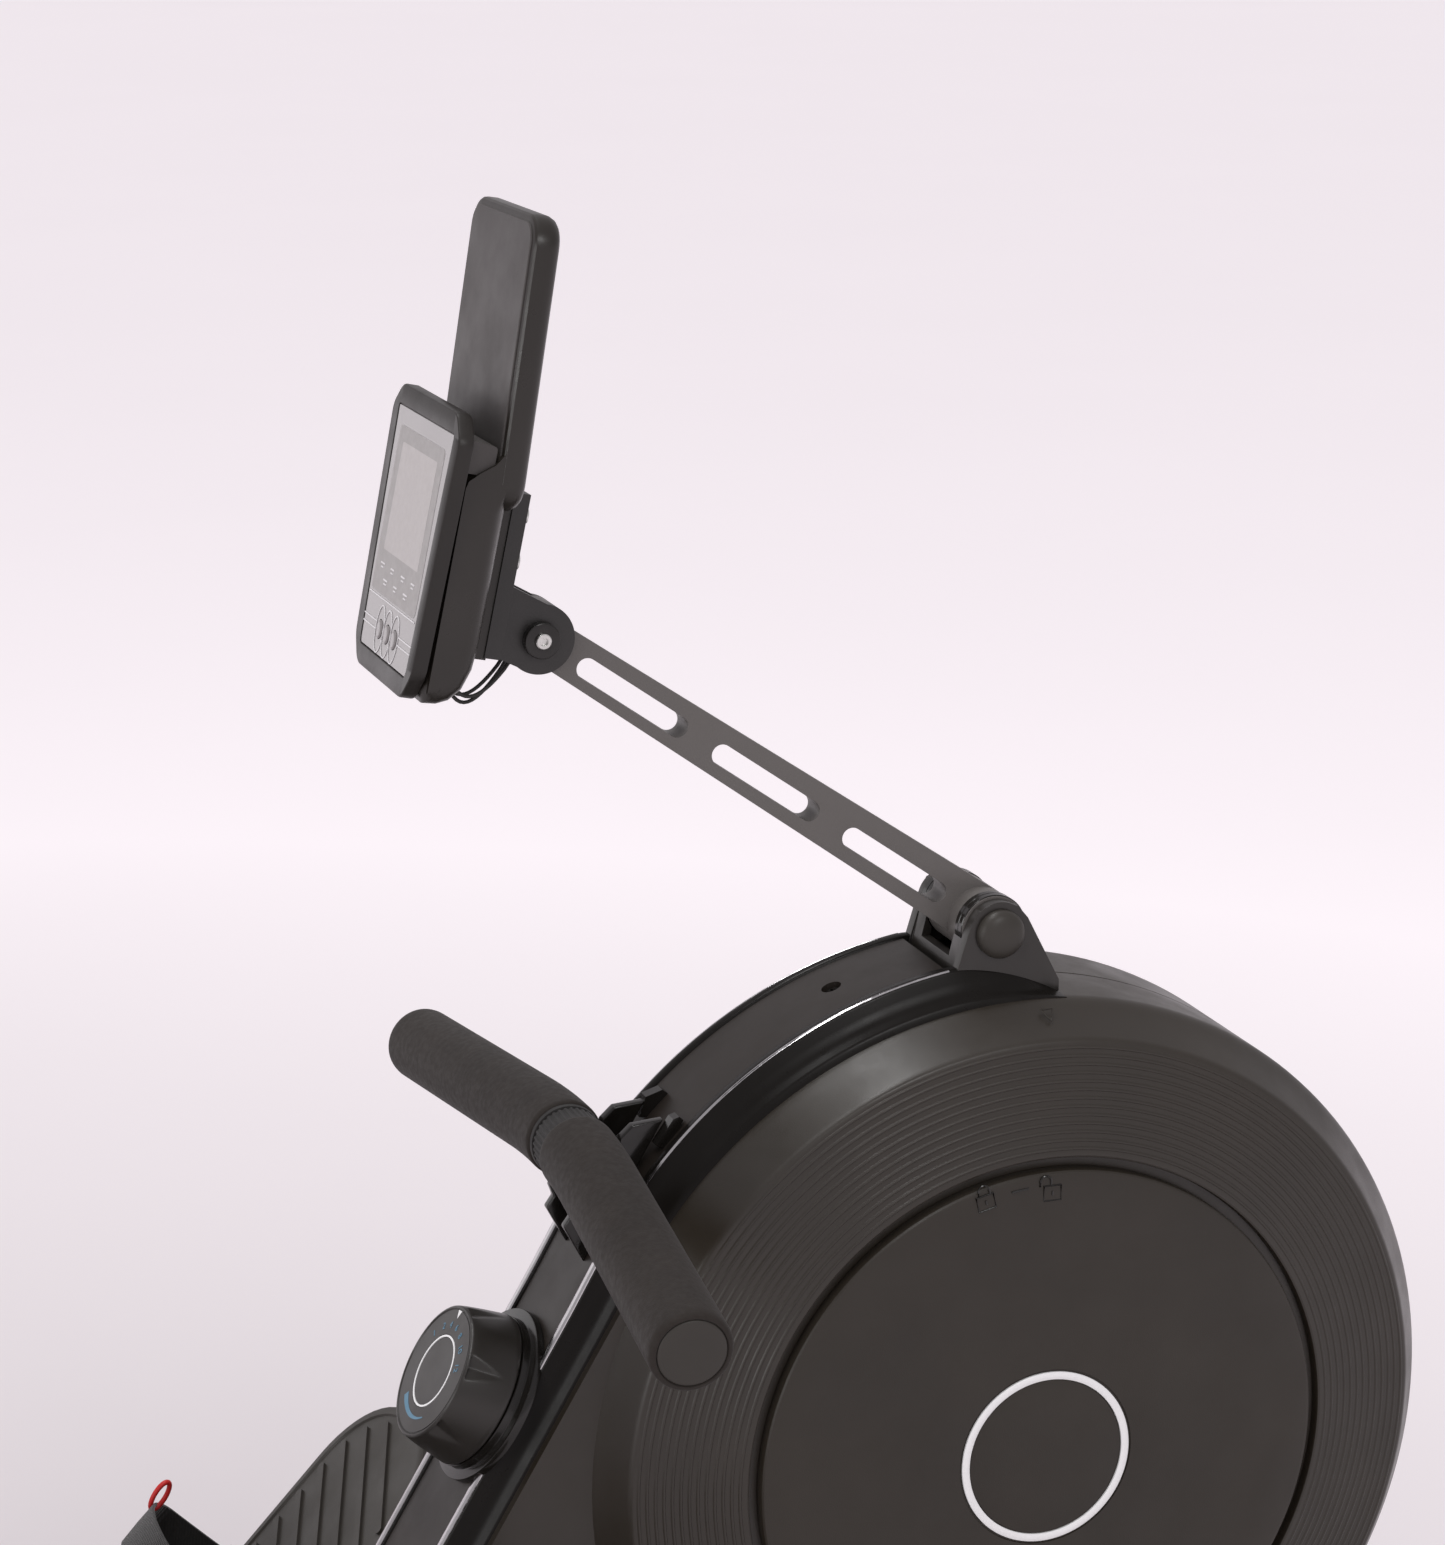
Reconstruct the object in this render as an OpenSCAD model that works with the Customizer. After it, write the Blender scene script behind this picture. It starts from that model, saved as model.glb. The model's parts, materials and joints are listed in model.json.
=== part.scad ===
// Folding magnetic rowing machine. +X points forward, from the seat to the flywheel,
// +Y is the rower's left, +Z is up. The origin is on the floor, at the middle of the length.

/* [Overall] */
// Length of the whole machine
machine_len = 1900; // [1880:10:1940]
// Height of the flywheel axle above the floor
wheel_z = 340; // [340:1:346]

/* [Housing] */
// Radius of the drum of the housing
drum_r = 210.5; // [209.5:0.5:211]
// Radius of the centre strip over the drum
strip_r = 224; // [223:1:226]
// Half width of the centre strip
strip_half = 25; // [24:1:26]
// Angle of the flat panel above the horizontal
panel_angle = 59.2; // [59:0.1:59.6]

/* [Console] */
// Distance between the two pivots of the console arm
arm_len = 256; // [254:1:258]
// Slope of the console arm at rest
arm_slope = 35.3; // [34:0.1:36]
// Backward tilt of the console at rest
console_tilt = 12; // [11:0.5:13]

/* [Handle] */
// Diameter of the foam grips
grip_d = 36; // [34:1:37]
// Half of the handle's length
handle_half = 204; // [196:1:206]
// How far the ends of the handle sweep back
handle_sweep = 21; // [18:1:23]

/* [Footplates] */
// Angle of the footplates above the horizontal
foot_angle = 46.8; // [45:0.1:48]
// Length of a footplate
foot_len = 282; // [276:1:286]
// Width of a footplate
foot_w = 112; // [104:1:114]

/* [Rail and seat] */
// Width of the rail
rail_w = 50; // [48:1:50]
// Height of the rail
rail_h = 60; // [58:1:60]
// Height of the middle of the rail
rail_z = 200; // [198:1:202]
// Width of the seat
seat_w = 300; // [280:5:320]
// Length of the seat
seat_len = 245; // [230:5:250]

/* [Hidden] */
$fn = 96;
EPS = 0.01;
GAP = 0.3;

// How far the transport wheels reach in front of the flywheel axle
front_reach = 214;
// The flywheel axle, measured from the middle of the length
wheel_x = machine_len / 2 - front_reach;
// A point on the panel where it touches the strip's arc, from the axle
panel_r = strip_r - 2;
panel_n = [-sin(panel_angle), cos(panel_angle)];
tangent = panel_r * panel_n;
panel_down = [-cos(panel_angle), -sin(panel_angle)];
panel_len = 288;
// The drum's middle lies a little ahead of the axle and below it
drum_c = [1, -3];
rim_half = 31;
neck_end = tangent + panel_len * panel_down;
neck_bottom = -214;

// Pivots of the console arm, from the axle
low_pivot = [-7, 237];
high_pivot = low_pivot + arm_len * [-cos(arm_slope), sin(arm_slope)];
ear_in = 25;
arm_half = 7.5;
barrel_r = 15.5;

// Handle, from the axle
handle_c = [-202, 150];
handle_lean = atan2(17.4, 13);
strap_lean = atan2(-handle_c[0], handle_c[1]);
pull_angle = 14;

// Frame
beam_w = 50;
stab_r = 25;
stab_z = 35;
front_stab_x = 150;
mid_stab_x = -375;
hinge_x = -440;
post_x0 = -400;
post_x1 = -350;
bracket_half = 30;
foot_axle = [-375, 160 - wheel_z];
foot_mid = [-343, -128];
foot_y = 112;

// Rail, from the axle
rail_x0 = -470;
rail_x1 = front_reach - machine_len + 16;
seat_x = -1000;
roller_r = 16;
roller_dx = 50;
leg_x = -1600;

// ---------- helpers ----------

// Moves from the axle's own frame to the machine's
module at_wheel() translate([wheel_x, 0, wheel_z]) children();

// Raises an outline drawn in X and Z into a plate from y0 to y1
module plate(y0, y1) translate([0, y1, 0]) rotate([90, 0, 0]) linear_extrude(y1 - y0) children();

// A round bar along Y, at [x, z]
module bar(r, y0, y1, at = [0, 0]) plate(y0, y1) translate(at) circle(r);

// Both sides of the machine
module both() {
    children();
    mirror([0, 1, 0]) children();
}

// Turns a [radius, height] outline about Y, with its height towards the rower's right
module turned() rotate([90, 0, 0]) rotate_extrude($fn = 180) children();

// A place on the panel, at a distance down it, with local Z out of the panel
module on_panel(down) {
    at = tangent + down * panel_down;
    translate([at[0], 0, at[1]]) rotate([0, -panel_angle, 0]) children();
}

module rounded_rect(w, l, r) {
    square([w - 2 * r, l], center = true);
    square([w, l - 2 * r], center = true);
    for (x = [-1, 1], y = [-1, 1]) translate([x * (w / 2 - r), y * (l / 2 - r)]) circle(r);
}

// ---------- frame ----------

module upright_outline() polygon([[-85, 100 - wheel_z], [35, 100 - wheel_z], [24, 24], [-24, 24]]);

module main_frame() color("#2b2927") at_wheel() difference() {
    union() {
        translate([post_x0, -beam_w / 2, 60 - wheel_z]) cube([front_stab_x + 30 - post_x0, beam_w, 40]);
        translate([post_x0, -beam_w / 2, 99 - wheel_z]) cube([post_x1 - post_x0, beam_w, 70]);
        translate([post_x0, -37, rail_z - 35 - wheel_z]) cube([post_x1 - post_x0, 74, 70]);
        both() plate(31, 37) translate([hinge_x - 25, rail_z - 35 - wheel_z]) square([70, 70]);
        plate(-26, -21) upright_outline();
        plate(30, 35) upright_outline();
        for (x = [front_stab_x, mid_stab_x]) translate([x - 30, -40, 54 - wheel_z]) cube([60, 80, 6]);
    }
    bar(10, -60, 60);
    bar(5.05, -60, 0, [-58, -160]);
    bar(8, -60, 60, foot_axle);
    bar(6, -60, 60, [hinge_x, rail_z - wheel_z]);
    bar(5.1, -40, -20, [hinge_x - 12, rail_z + 22 - wheel_z]);
    for (x = [front_stab_x, mid_stab_x]) bar(stab_r, -60, 60, [x, stab_z - wheel_z]);
}

module stabiliser(x, half) at_wheel() bar(stab_r, -half, half, [x, stab_z - wheel_z]);
module front_stabiliser() color("#2b2927") stabiliser(front_stab_x, 200);
module mid_stabiliser() color("#2b2927") stabiliser(mid_stab_x, 190);

module end_cap(x, y0, y1, r) {
    difference() {
        bar(r, y0, y1, [x, stab_z - wheel_z]);
        bar(stab_r, y0 - 1, y1 - 6, [x, stab_z - wheel_z]);
    }
    difference() {
        translate([x - 20, y0, -wheel_z]) cube([40, y1 - y0, 20]);
        bar(stab_r + 1, y0 - 1, y1 + 1, [x, stab_z - wheel_z]);
    }
}

fork_x = front_reach - 28;
wheel_low = [fork_x, 30 - wheel_z];

module stabiliser_caps() color("#191817") at_wheel() both() {
    end_cap(mid_stab_x, 175, 205, 28);
    difference() {
        union() {
            end_cap(front_stab_x, 178, 208, 28);
            translate([front_stab_x - 22, 202, 12 - wheel_z]) cube([26, 31, 46]);
            plate(203, 208) translate([front_stab_x, 12 - wheel_z]) square([fork_x + 10 - front_stab_x, 30]);
            plate(228, 233) translate([front_stab_x, 12 - wheel_z]) square([fork_x + 10 - front_stab_x, 30]);
        }
        bar(4, 200, 240, wheel_low);
    }
}

module transport_wheel() color("#1d1c1b") at_wheel() difference() {
    union() {
        bar(28, 211, 225, wheel_low);
        bar(9, 209, 227, wheel_low);
    }
    bar(4.05, 200, 240, wheel_low);
}
module transport_wheel_left() transport_wheel();
module transport_wheel_right() mirror([0, 1, 0]) transport_wheel();
module wheel_axles() color("#8c8c8c") at_wheel() both() {
    bar(4, 203, 233, wheel_low);
    bar(7, 233, 235, wheel_low);
}

// ---------- housing ----------

module neck_outline(inset) polygon([tangent * 0.6, tangent - (inset + 5) * panel_n,
    neck_end - (inset + 5) * panel_n + [inset, inset],
    [neck_end[0] + 4 + inset, neck_bottom + inset], [0, neck_bottom + inset]]);

rim_in = 205.3;
rim_start = -3;
// Cross-section of the rim beside the strip, as radius and height
rim_section = [[rim_in, strip_half + 0.2], [strip_r, strip_half + 0.2], [strip_r, rim_half],
    [strip_r - 2.5, rim_half + 2], [drum_r + 1, rim_half + 7], [rim_in, rim_half + 7]];
strip_start = -30;
// The curved part of the rim and strip ends just past the top of the panel
sector_end = 1.5 * strip_r * [-sin(panel_angle + 1), cos(panel_angle + 1)];

module at_drum() translate([drum_c[0], 0, drum_c[1]]) children();

module shell_outer() {
    at_drum() turned() polygon([[0, 0.15], [drum_r, 0.15], [drum_r, 40], [208.5, 46], [205.5, 51],
        [190, 60], [0, 60]]);
    turned() polygon([[0, 50], [201, 50], [194, 63], [143, 73], [142, 68], [0, 68]]);
    plate(-44, -0.15) neck_outline(0);
    // Raised rim round the drum, between the console and the panel
    intersection() {
        turned() polygon(rim_section);
        plate(-50, 0) polygon([[0, 0], [strip_start, 212], [strip_start, 300], [-400, 300], sector_end]);
    }
    // Raised rim down the panel
    on_panel(rim_start) translate([0, 0, -panel_r]) rotate([0, -90, 0]) linear_extrude(panel_len - rim_start)
        polygon([for (p = rim_section) [min(p[0], panel_r), -p[1] - 0.05]]);
}

module shell_inner() {
    at_drum() turned() polygon([[0, -1], [drum_r - 3.5, -1], [drum_r - 3.5, 39], [204, 46], [201, 50],
        [186, 57], [0, 57]]);
    turned() polygon([[0, 40], [190, 40], [190, 59], [141, 65], [0, 65]]);
    plate(-41, 1) neck_outline(3.5);
}

module right_shell() color("#2a2826") at_wheel() difference() {
    shell_outer();
    shell_inner();
    translate([-90, -45, -250]) cube([130, 90, 60]);
}

module left_shell() color("#2a2826") mirror([0, 1, 0]) right_shell();

module centre_strip() color("#34302d") at_wheel() difference() {
    plate(-strip_half, strip_half) {
        intersection() {
            difference() {
                circle(strip_r - 1, $fn = 180);
                circle(strip_r - 4, $fn = 180);
            }
            polygon([[0, 0], [strip_start, 212], [strip_start, 300], [-400, 300], sector_end]);
        }
        polygon([tangent - 4 * panel_n, tangent, neck_end, neck_end - 4 * panel_n]);
    }
    rotate([0, -strap_lean, 0]) translate([0, 0, 230]) cube([3, 24, 40], center = true);
}

module cover_screws() color("#161514") at_wheel() {
    rotate([0, -20, 0]) translate([0, 0, strip_r - 0.5]) difference() {
        cylinder(r = 4.5, h = 1);
        translate([0, 0, 0.4]) cylinder(r = 2, h = 2, $fn = 6);
    }
}

module access_cover() turned() polygon([[0, 68.3], [137, 68.3], [137, 74], [134.5, 75.6],
    [90, 77.4], [42, 78.6], [37, 77.8], [0, 77.8]]);
module right_access_cover() color("#2c2a28") at_wheel() access_cover();
module left_access_cover() color("#2c2a28") at_wheel() mirror([0, 1, 0]) access_cover();

module handle_holder() color("#171615") at_wheel() difference() {
    both() plate(10.5, 15.5) polygon([[-146, 152], [-149, 158], [-157, 162], [-177, 160.5], [-183, 155],
        [-184.5, 148], [-190, 136], [-198, 131], [-205, 131], [-208, 126.5], [-206, 121], [-209.5, 116],
        [-199, 96], [-186, 84], [-160, 110]]);
    bar(grip_d / 2 + 1, -20, 20, handle_c);
    translate([handle_c[0], 0, handle_c[1]]) rotate([0, pull_angle, 0])
        translate([-60, 0, 0]) cube([120, 60, grip_d + 2], center = true);
    bar(strip_r - 0.9, -20, 20);
    on_panel(-60) translate([0, 0, -20]) translate([-200, -20, -19.9]) cube([260, 40, 40]);
}

// ---------- flywheel, reel and brake ----------

module flywheel_axle() color("#9a9a9a") at_wheel() {
    bar(10, -26, -19.5);
    bar(8, -40, 50);
    bar(10, 30, 36);
    bar(14, -34, -27);
    bar(14, 37, 44);
}

module flywheel() color("#6d6c6a") at_wheel() difference() {
    union() {
        bar(150, -12, -2);
        difference() {
            bar(150, -18, 4);
            bar(125, -19, 5);
        }
        bar(24, -18, 4);
    }
    bar(8.05, -30, 30);
}

module strap_reel() color("#3a3a3a") at_wheel() difference() {
    union() {
        bar(62, 6, 8);
        bar(40, 8, 26);
        bar(62, 26, 28);
    }
    bar(8.05, -30, 30);
}

module brake_bracket() color("#777777") at_wheel() difference() {
    union() {
        rotate([90, 0, 0]) translate([0, 0, -6]) rotate([0, 0, 188]) rotate_extrude(angle = 60)
            translate([159, 0]) square([5, 26]);
        bar(9, -20, 6, [-58, -160]);
    }
    bar(5.1, -60, 60, [-58, -160]);
}

module brake_magnets() color("#b8b8b8") at_wheel() for (i = [0:4]) rotate([0, -(194 + 10 * i), 0])
    translate([156.8, -7, 0]) cube([4, 18, 16], center = true);

// The stretch of the brake's cable behind the panel
module tension_cable() color("#222222") at_wheel() rotate([90, 0, 0]) translate([0, 0, -14])
    rotate([0, 0, 160]) rotate_extrude(angle = 26) translate([180, 0]) circle(1.5, $fn = 24);

// ---------- tension knob ----------

knob_down = 94;

module knob_base() color("#141312") at_wheel() on_panel(knob_down) {
    cylinder(r = 41, h = 4);
    cylinder(r = 36, h = 8);
    cylinder(r = 6, h = 20);
}

module tension_knob() color("#181716") at_wheel() on_panel(knob_down) difference() {
    rotate_extrude() polygon([[0, 8.3], [35, 8.3], [37, 11], [36, 17], [34, 26], [32.8, 31], [31, 32.6], [0, 32.6]]);
    translate([0, 0, 8]) cylinder(r = 6.05, h = 13);
}

// ---------- console mount and arm ----------

module ear_outline() {
    polygon([[-29.5, 204], [-29.5, 214], [-21.5, 240], [-17, 248], [2, 249], [7, 243], [23, 212], [23, 204]]);
    translate(low_pivot) circle(14.5);
}

module console_mount() color("#1b1b1a") at_wheel() difference() {
    union() {
        both() plate(ear_in, ear_in + 6) ear_outline();
        plate(-rim_half, rim_half) intersection() {
            circle(219);
            polygon([[strip_start + 0.5, 200], [strip_start + 0.5, 230], [5, 230], [23, 211.5], [23, 200]]);
        }
        plate(-ear_in - 1, ear_in + 1) polygon([[-29.5, 208], [-21.5, 240], [-17, 240], [-25, 208]]);
    }
    at_drum() bar(drum_r + 0.1, -40, 40);
    bar(6, -40, 40, low_pivot);
    bar(barrel_r + 0.6, -ear_in, ear_in, low_pivot);
    translate([-60, -16, 224]) cube([50, 32, 40]);
}

module mount_pivot_bolt() color("#2a2826") at_wheel() {
    bar(6, -ear_in - 6, ear_in + 6, low_pivot);
    both() translate([low_pivot[0], -ear_in - 6, low_pivot[1]]) turned()
        polygon([[0, 0], [11.3, 0], [11.3, 2.6], [10.4, 4.2], [7.7, 5.6], [4.1, 6.3], [0, 6.5]]);
}

slot_start = 21;
slot_step = 76;
slot_len = 60.5;

module arm_slot(from, to) rotate([90, 0, 0]) translate([0, 0, -20]) linear_extrude(40) {
    translate([-(from + to) / 2, 0]) square([to - from - 9.6, 9.6], center = true);
    for (s = [from + 4.8, to - 4.8]) translate([-s, 0]) circle(4.8);
}

module console_arm() color("#3a3835") at_wheel() translate([low_pivot[0], 0, low_pivot[1]]) difference() {
    rotate([0, arm_slope, 0]) difference() {
        union() {
            plate(-arm_half, arm_half) polygon([[0, -12], [0, 15.3], [-arm_len, 10.6], [-arm_len, -9.2]]);
            bar(barrel_r, -ear_in + 0.4, ear_in - 0.4);
            bar(15.5, -arm_half, arm_half, [-arm_len, 0]);
        }
        for (i = [0:2]) arm_slot(slot_start + i * slot_step, slot_start + i * slot_step + slot_len);
        bar(5.05, -20, 20, [-arm_len, 0]);
    }
    bar(6.05, -30, 30);
}

module arm_pivot_bolt() color("#222222") at_wheel() {
    bar(5, -12, 12, high_pivot);
    difference() {
        bar(8, -16, -12, high_pivot);
        bar(3, -17, -13.5, high_pivot, $fn = 6);
    }
    bar(8, 12, 16, high_pivot);
}

// ---------- console, in its own frame at the upper pivot ----------

face_x = -64.6;
bezel_t = 7;
top_z = 94;
low_z = -29;
slab_lean = 3;
slab_x = -42.3;
slab_t = 12.5;

module at_console() at_wheel() translate([high_pivot[0], 0, high_pivot[1]]) rotate([0, console_tilt, 0]) children();

// An outline drawn in Y and Z, raised from x0 to x1
module upright_plate(x0, x1) translate([x0, 0, 0]) rotate([90, 0, 90]) linear_extrude(x1 - x0) children();

module console_bracket() color("#2b2927") at_console() difference() {
    union() {
        translate([-26, -20, -10]) cube([7, 40, 72]);
        both() plate(8, 12) {
            circle(15.5);
            polygon([[-20, -10], [0, -15.5], [0, 15.5], [-20, 22]]);
        }
    }
    bar(5, -20, 20);
}

module console_screws() color("#7a7a78") at_console() for (y = [-13, 13], z = [32, 52])
    translate([-19, y, z]) rotate([0, 90, 0]) difference() {
        cylinder(r = 3.5, h = 2);
        translate([0, 0, 1]) cylinder(r = 1.5, h = 2, $fn = 6);
    }

module console_back() color("#2a2826") at_console() difference() {
    union() {
        upright_plate(face_x + bezel_t, -44) translate([0, 28]) rounded_rect(91, 108, 9);
        upright_plate(-44.1, -34) translate([0, 26]) rounded_rect(91, 100, 12);
        upright_plate(-34.1, -26) translate([0, 24]) rounded_rect(78, 80, 12);
        rotate([0, -slab_lean, 0]) upright_plate(slab_x, slab_x + slab_t) translate([0, 118]) rounded_rect(94, 126, 12);
    }
    translate([face_x + bezel_t - 1, -60, 82]) cube([11, 120, 30]);
}

module bezel_outline(inset) {
    polygon([[-52 + inset, top_z - 10], [-42, top_z - inset], [42, top_z - inset], [52 - inset, top_z - 10],
        [46 - inset, low_z + 12], [36, low_z + inset], [-36, low_z + inset], [-46 + inset, low_z + 12]]);
}

button_z = -9;
button_y = [-11.5, 0, 11.5];

module button_outline(grow) scale([0.62, 1]) circle(8.2 + grow);

module console_bezel() color("#2b2927") at_console() difference() {
    upright_plate(face_x, face_x + bezel_t) bezel_outline(0);
    upright_plate(face_x - 1, face_x + 1.5) bezel_outline(9);
    upright_plate(face_x - 1, face_x + 4) translate([0, 44]) square([64, 56], center = true);
    for (y = button_y) upright_plate(face_x - 1, face_x + 5) translate([y, button_z]) circle(4.4);
}

module console_lcd() color("#b9b1ab") at_console()
    upright_plate(face_x + 2, face_x + 4) translate([0, 44]) square([63, 55], center = true);

module console_lens() color([0.4, 0.4, 0.4, 0.5]) at_console() difference() {
    upright_plate(face_x + 0.3, face_x + 1.5) bezel_outline(9.3);
    for (y = button_y) upright_plate(face_x - 1, face_x + 5) translate([y, button_z]) circle(4.4);
}

module button(y) color("#4a4744") at_console() upright_plate(face_x - 0.4, face_x + 3) translate([y, button_z]) circle(4);
module button_left() button(button_y[2]);
module button_middle() button(button_y[1]);
module button_right() button(button_y[0]);

// Leads that loop from the bottom of the console to the arm's end
wire_r = 1.2;
wire_loop = 12;
wire_at = [-24, -24];
module console_wires() color("#111111") at_console() for (y = [-4, 0, 4]) translate([wire_at[0], y, wire_at[1]])
    rotate([90, 180, 0]) rotate_extrude(angle = 172) translate([wire_loop, 0]) circle(wire_r, $fn = 24);

// ---------- handle ----------

// Places a stretch of the handle: from is 0 at its middle, and the outline is drawn across it.
// The handle bends in its middle and runs straight to its ends.
bend_half = 50;
bend_angle = atan(handle_sweep / (handle_half - bend_half / 2));
bend_r = bend_half / sin(bend_angle);
straight = (handle_half - bend_half) / cos(bend_angle);

module at_handle() at_wheel() translate([handle_c[0], 0, handle_c[1]]) rotate([0, -handle_lean, 0])
    translate([-bend_r, 0, 0]) children();

module bend(from, to) rotate([0, 0, from]) rotate_extrude(angle = to - from) translate([bend_r, 0]) children();

// A straight stretch on the rower's left, from one distance past the bend to another
module run(from, to) rotate([0, 0, bend_angle]) translate([bend_r, to, 0]) rotate([90, 0, 0])
    linear_extrude(to - from) children();

collar_angle = 1.2;
cap_t = 4;

module handle_bar() color("#222120") at_handle() {
    bend(-bend_angle, bend_angle) circle(11);
    both() run(-EPS, straight - cap_t) circle(11);
}

// Each foam grip is a bent stretch and a straight one, end to end
module grip_outline() difference() {
    circle(grip_d / 2);
    circle(11);
}

module handle_grips() color("#3b3733") at_handle() both() {
    bend(collar_angle, bend_angle) grip_outline();
    run(2 * EPS, straight - cap_t) grip_outline();
}

module handle_collar() color("#26241f") at_handle() bend(-collar_angle, collar_angle) difference() {
    circle(15.5);
    circle(11);
}

module handle_end_caps() color("#33302c") at_handle() both() run(straight - cap_t, straight) circle(17.5);

module pull_strap() color("#161616") at_wheel() rotate([0, -strap_lean, 0])
    translate([0, 0, strip_r + 6]) cube([2, 17, 11], center = true);

// ---------- footplates ----------

// The right footplate's own frame: X up the plate, Y across, Z out of the sole
module at_foot() at_wheel() translate([foot_mid[0], -foot_y, foot_mid[1]]) rotate([0, -foot_angle, 0]) children();

module foot_axle_rod() color("#8c8c8c") at_wheel() {
    bar(8, -172, 172, foot_axle);
    both() bar(12, 172, 178, foot_axle);
}

// The sole's outline, with rounder corners at the toe
module foot_outline(inset) {
    intersection() {
        rounded_rect(foot_len - 2 * inset, foot_w - 2 * inset, 50 - inset);
        translate([0, -200]) square([300, 400]);
    }
    intersection() {
        rounded_rect(foot_len - 2 * inset, foot_w - 2 * inset, 22 - inset);
        translate([-300, -200]) square([300 + EPS, 400]);
    }
}

module footplate() color("#2a2826") difference() {
    union() {
        at_foot() {
            translate([0, 0, -10]) linear_extrude(10) foot_outline(0);
            // Heel cup
            intersection() {
                translate([-foot_len / 2, -foot_w / 2, -10]) cube([70, foot_w, 50]);
                difference() {
                    translate([0, 0, -10]) linear_extrude(50) foot_outline(0);
                    linear_extrude(60) foot_outline(5);
                }
            }
        }
        at_wheel() bar(14, -150, -74, foot_axle);
    }
    at_wheel() bar(8.05, -300, 0, foot_axle);
}
module footplate_right() footplate();
module footplate_left() mirror([0, 1, 0]) footplate();

strap_at = 20;
module foot_strap() color("#141414") at_foot() translate([strap_at, 0, 0]) rotate([90, 0, 90])
    translate([0, 0, -22]) linear_extrude(44) difference() {
        union() {
            translate([-foot_w / 2 + 2, 0.1]) square([foot_w - 4, 40]);
            translate([0, 40]) scale([1, 0.5]) circle(foot_w / 2 - 2);
        }
        translate([-foot_w / 2 + 4.5, -1]) square([foot_w - 9, 41]);
        translate([0, 40]) scale([1, 0.47]) circle(foot_w / 2 - 4.5);
    }
module foot_strap_right() foot_strap();
module foot_strap_left() mirror([0, 1, 0]) foot_strap();

// ---------- fold hinge and rail ----------

module hinge_pin() color("#8c8c8c") at_wheel() {
    bar(6, -37, 37, [hinge_x, rail_z - wheel_z]);
    both() bar(9, 37, 42, [hinge_x, rail_z - wheel_z]);
}

module fold_pin() color("#b02020") at_wheel() {
    bar(5, -60, -31.3, [hinge_x - 12, rail_z + 22 - wheel_z]);
    bar(11, -62, -44, [hinge_x - 12, rail_z + 22 - wheel_z]);
}

module rail_outline() difference() {
    square([rail_w, rail_h], center = true);
    square([rail_w - 8, rail_h - 8], center = true);
    for (s = [-1, 1]) translate([s * rail_w / 2, 8]) square([5, 12], center = true);
}

module rail() color("#8e8d8b") at_wheel() translate([rail_x1, 0, rail_z - wheel_z]) rotate([90, 0, 90])
    linear_extrude(rail_x0 - rail_x1) rail_outline();

module rail_bracket() color("#2b2927") at_wheel() difference() {
    translate([rail_x0 - 60, -bracket_half, rail_z - 35 - wheel_z]) cube([105, 2 * bracket_half, 70]);
    translate([rail_x0 - 70, -rail_w / 2, rail_z - rail_h / 2 - wheel_z]) cube([70, rail_w, rail_h]);
    bar(6.05, -60, 60, [hinge_x, rail_z - wheel_z]);
}

module rail_stops() color("#111111") at_wheel() for (x = [rail_x0 - 100, leg_x + 10])
    translate([x, -18, rail_z + rail_h / 2 - wheel_z]) cube([18, 36, 26]);

module rail_end_cap() color("#191817") at_wheel() translate([rail_x1 - 16, 0, rail_z - wheel_z]) {
    rotate([90, 0, 90]) linear_extrude(16) rounded_rect(rail_w + 6, rail_h + 6, 8);
}

module rear_leg() color("#2b2927") at_wheel() difference() {
    union() {
        translate([leg_x - 30, -20, 50 - wheel_z]) cube([60, 40, rail_z - rail_h / 2 - 50]);
        translate([leg_x - 50, -25, rail_z - rail_h / 2 - 6 - wheel_z]) cube([100, 50, 6]);
        bar(stab_r, -190, 190, [leg_x, stab_z - wheel_z]);
    }
}

module rear_feet() color("#191817") at_wheel() both() end_cap(leg_x, 175, 205, 28);

// ---------- seat ----------

roller_z = rail_z + rail_h / 2 + roller_r + GAP - wheel_z;
plate_z = rail_z + rail_h / 2 + 36 - wheel_z;

module seat_carriage() color("#4a4846") at_wheel() difference() {
    union() {
        translate([seat_x - 75, -32, plate_z]) cube([150, 64, 4]);
        both() translate([seat_x - 75, 28, plate_z - 50]) cube([150, 4, 51]);
        translate([seat_x - 90, -90, plate_z + 4]) cube([180, 180, 4]);
    }
    for (s = [-1, 1]) bar(4, -40, 40, [seat_x + s * roller_dx, roller_z]);
}

module seat_axles() color("#8c8c8c") at_wheel() for (s = [-1, 1]) {
    bar(4, -32, 32, [seat_x + s * roller_dx, roller_z]);
    both() bar(6.5, 32, 36, [seat_x + s * roller_dx, roller_z]);
}

module rollers(x) color("#d8d4cc") at_wheel() difference() {
    both() bar(roller_r, 8, 22, [x, roller_z]);
    bar(4.05, -40, 40, [x, roller_z]);
}
module rollers_front() rollers(seat_x + roller_dx);
module rollers_rear() rollers(seat_x - roller_dx);

module seat_pad() color("#1c1b1a") at_wheel() translate([seat_x, 0, plate_z + 8])
    linear_extrude(48) rounded_rect(seat_len, seat_w, 60);

// ---------- the machine ----------

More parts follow.
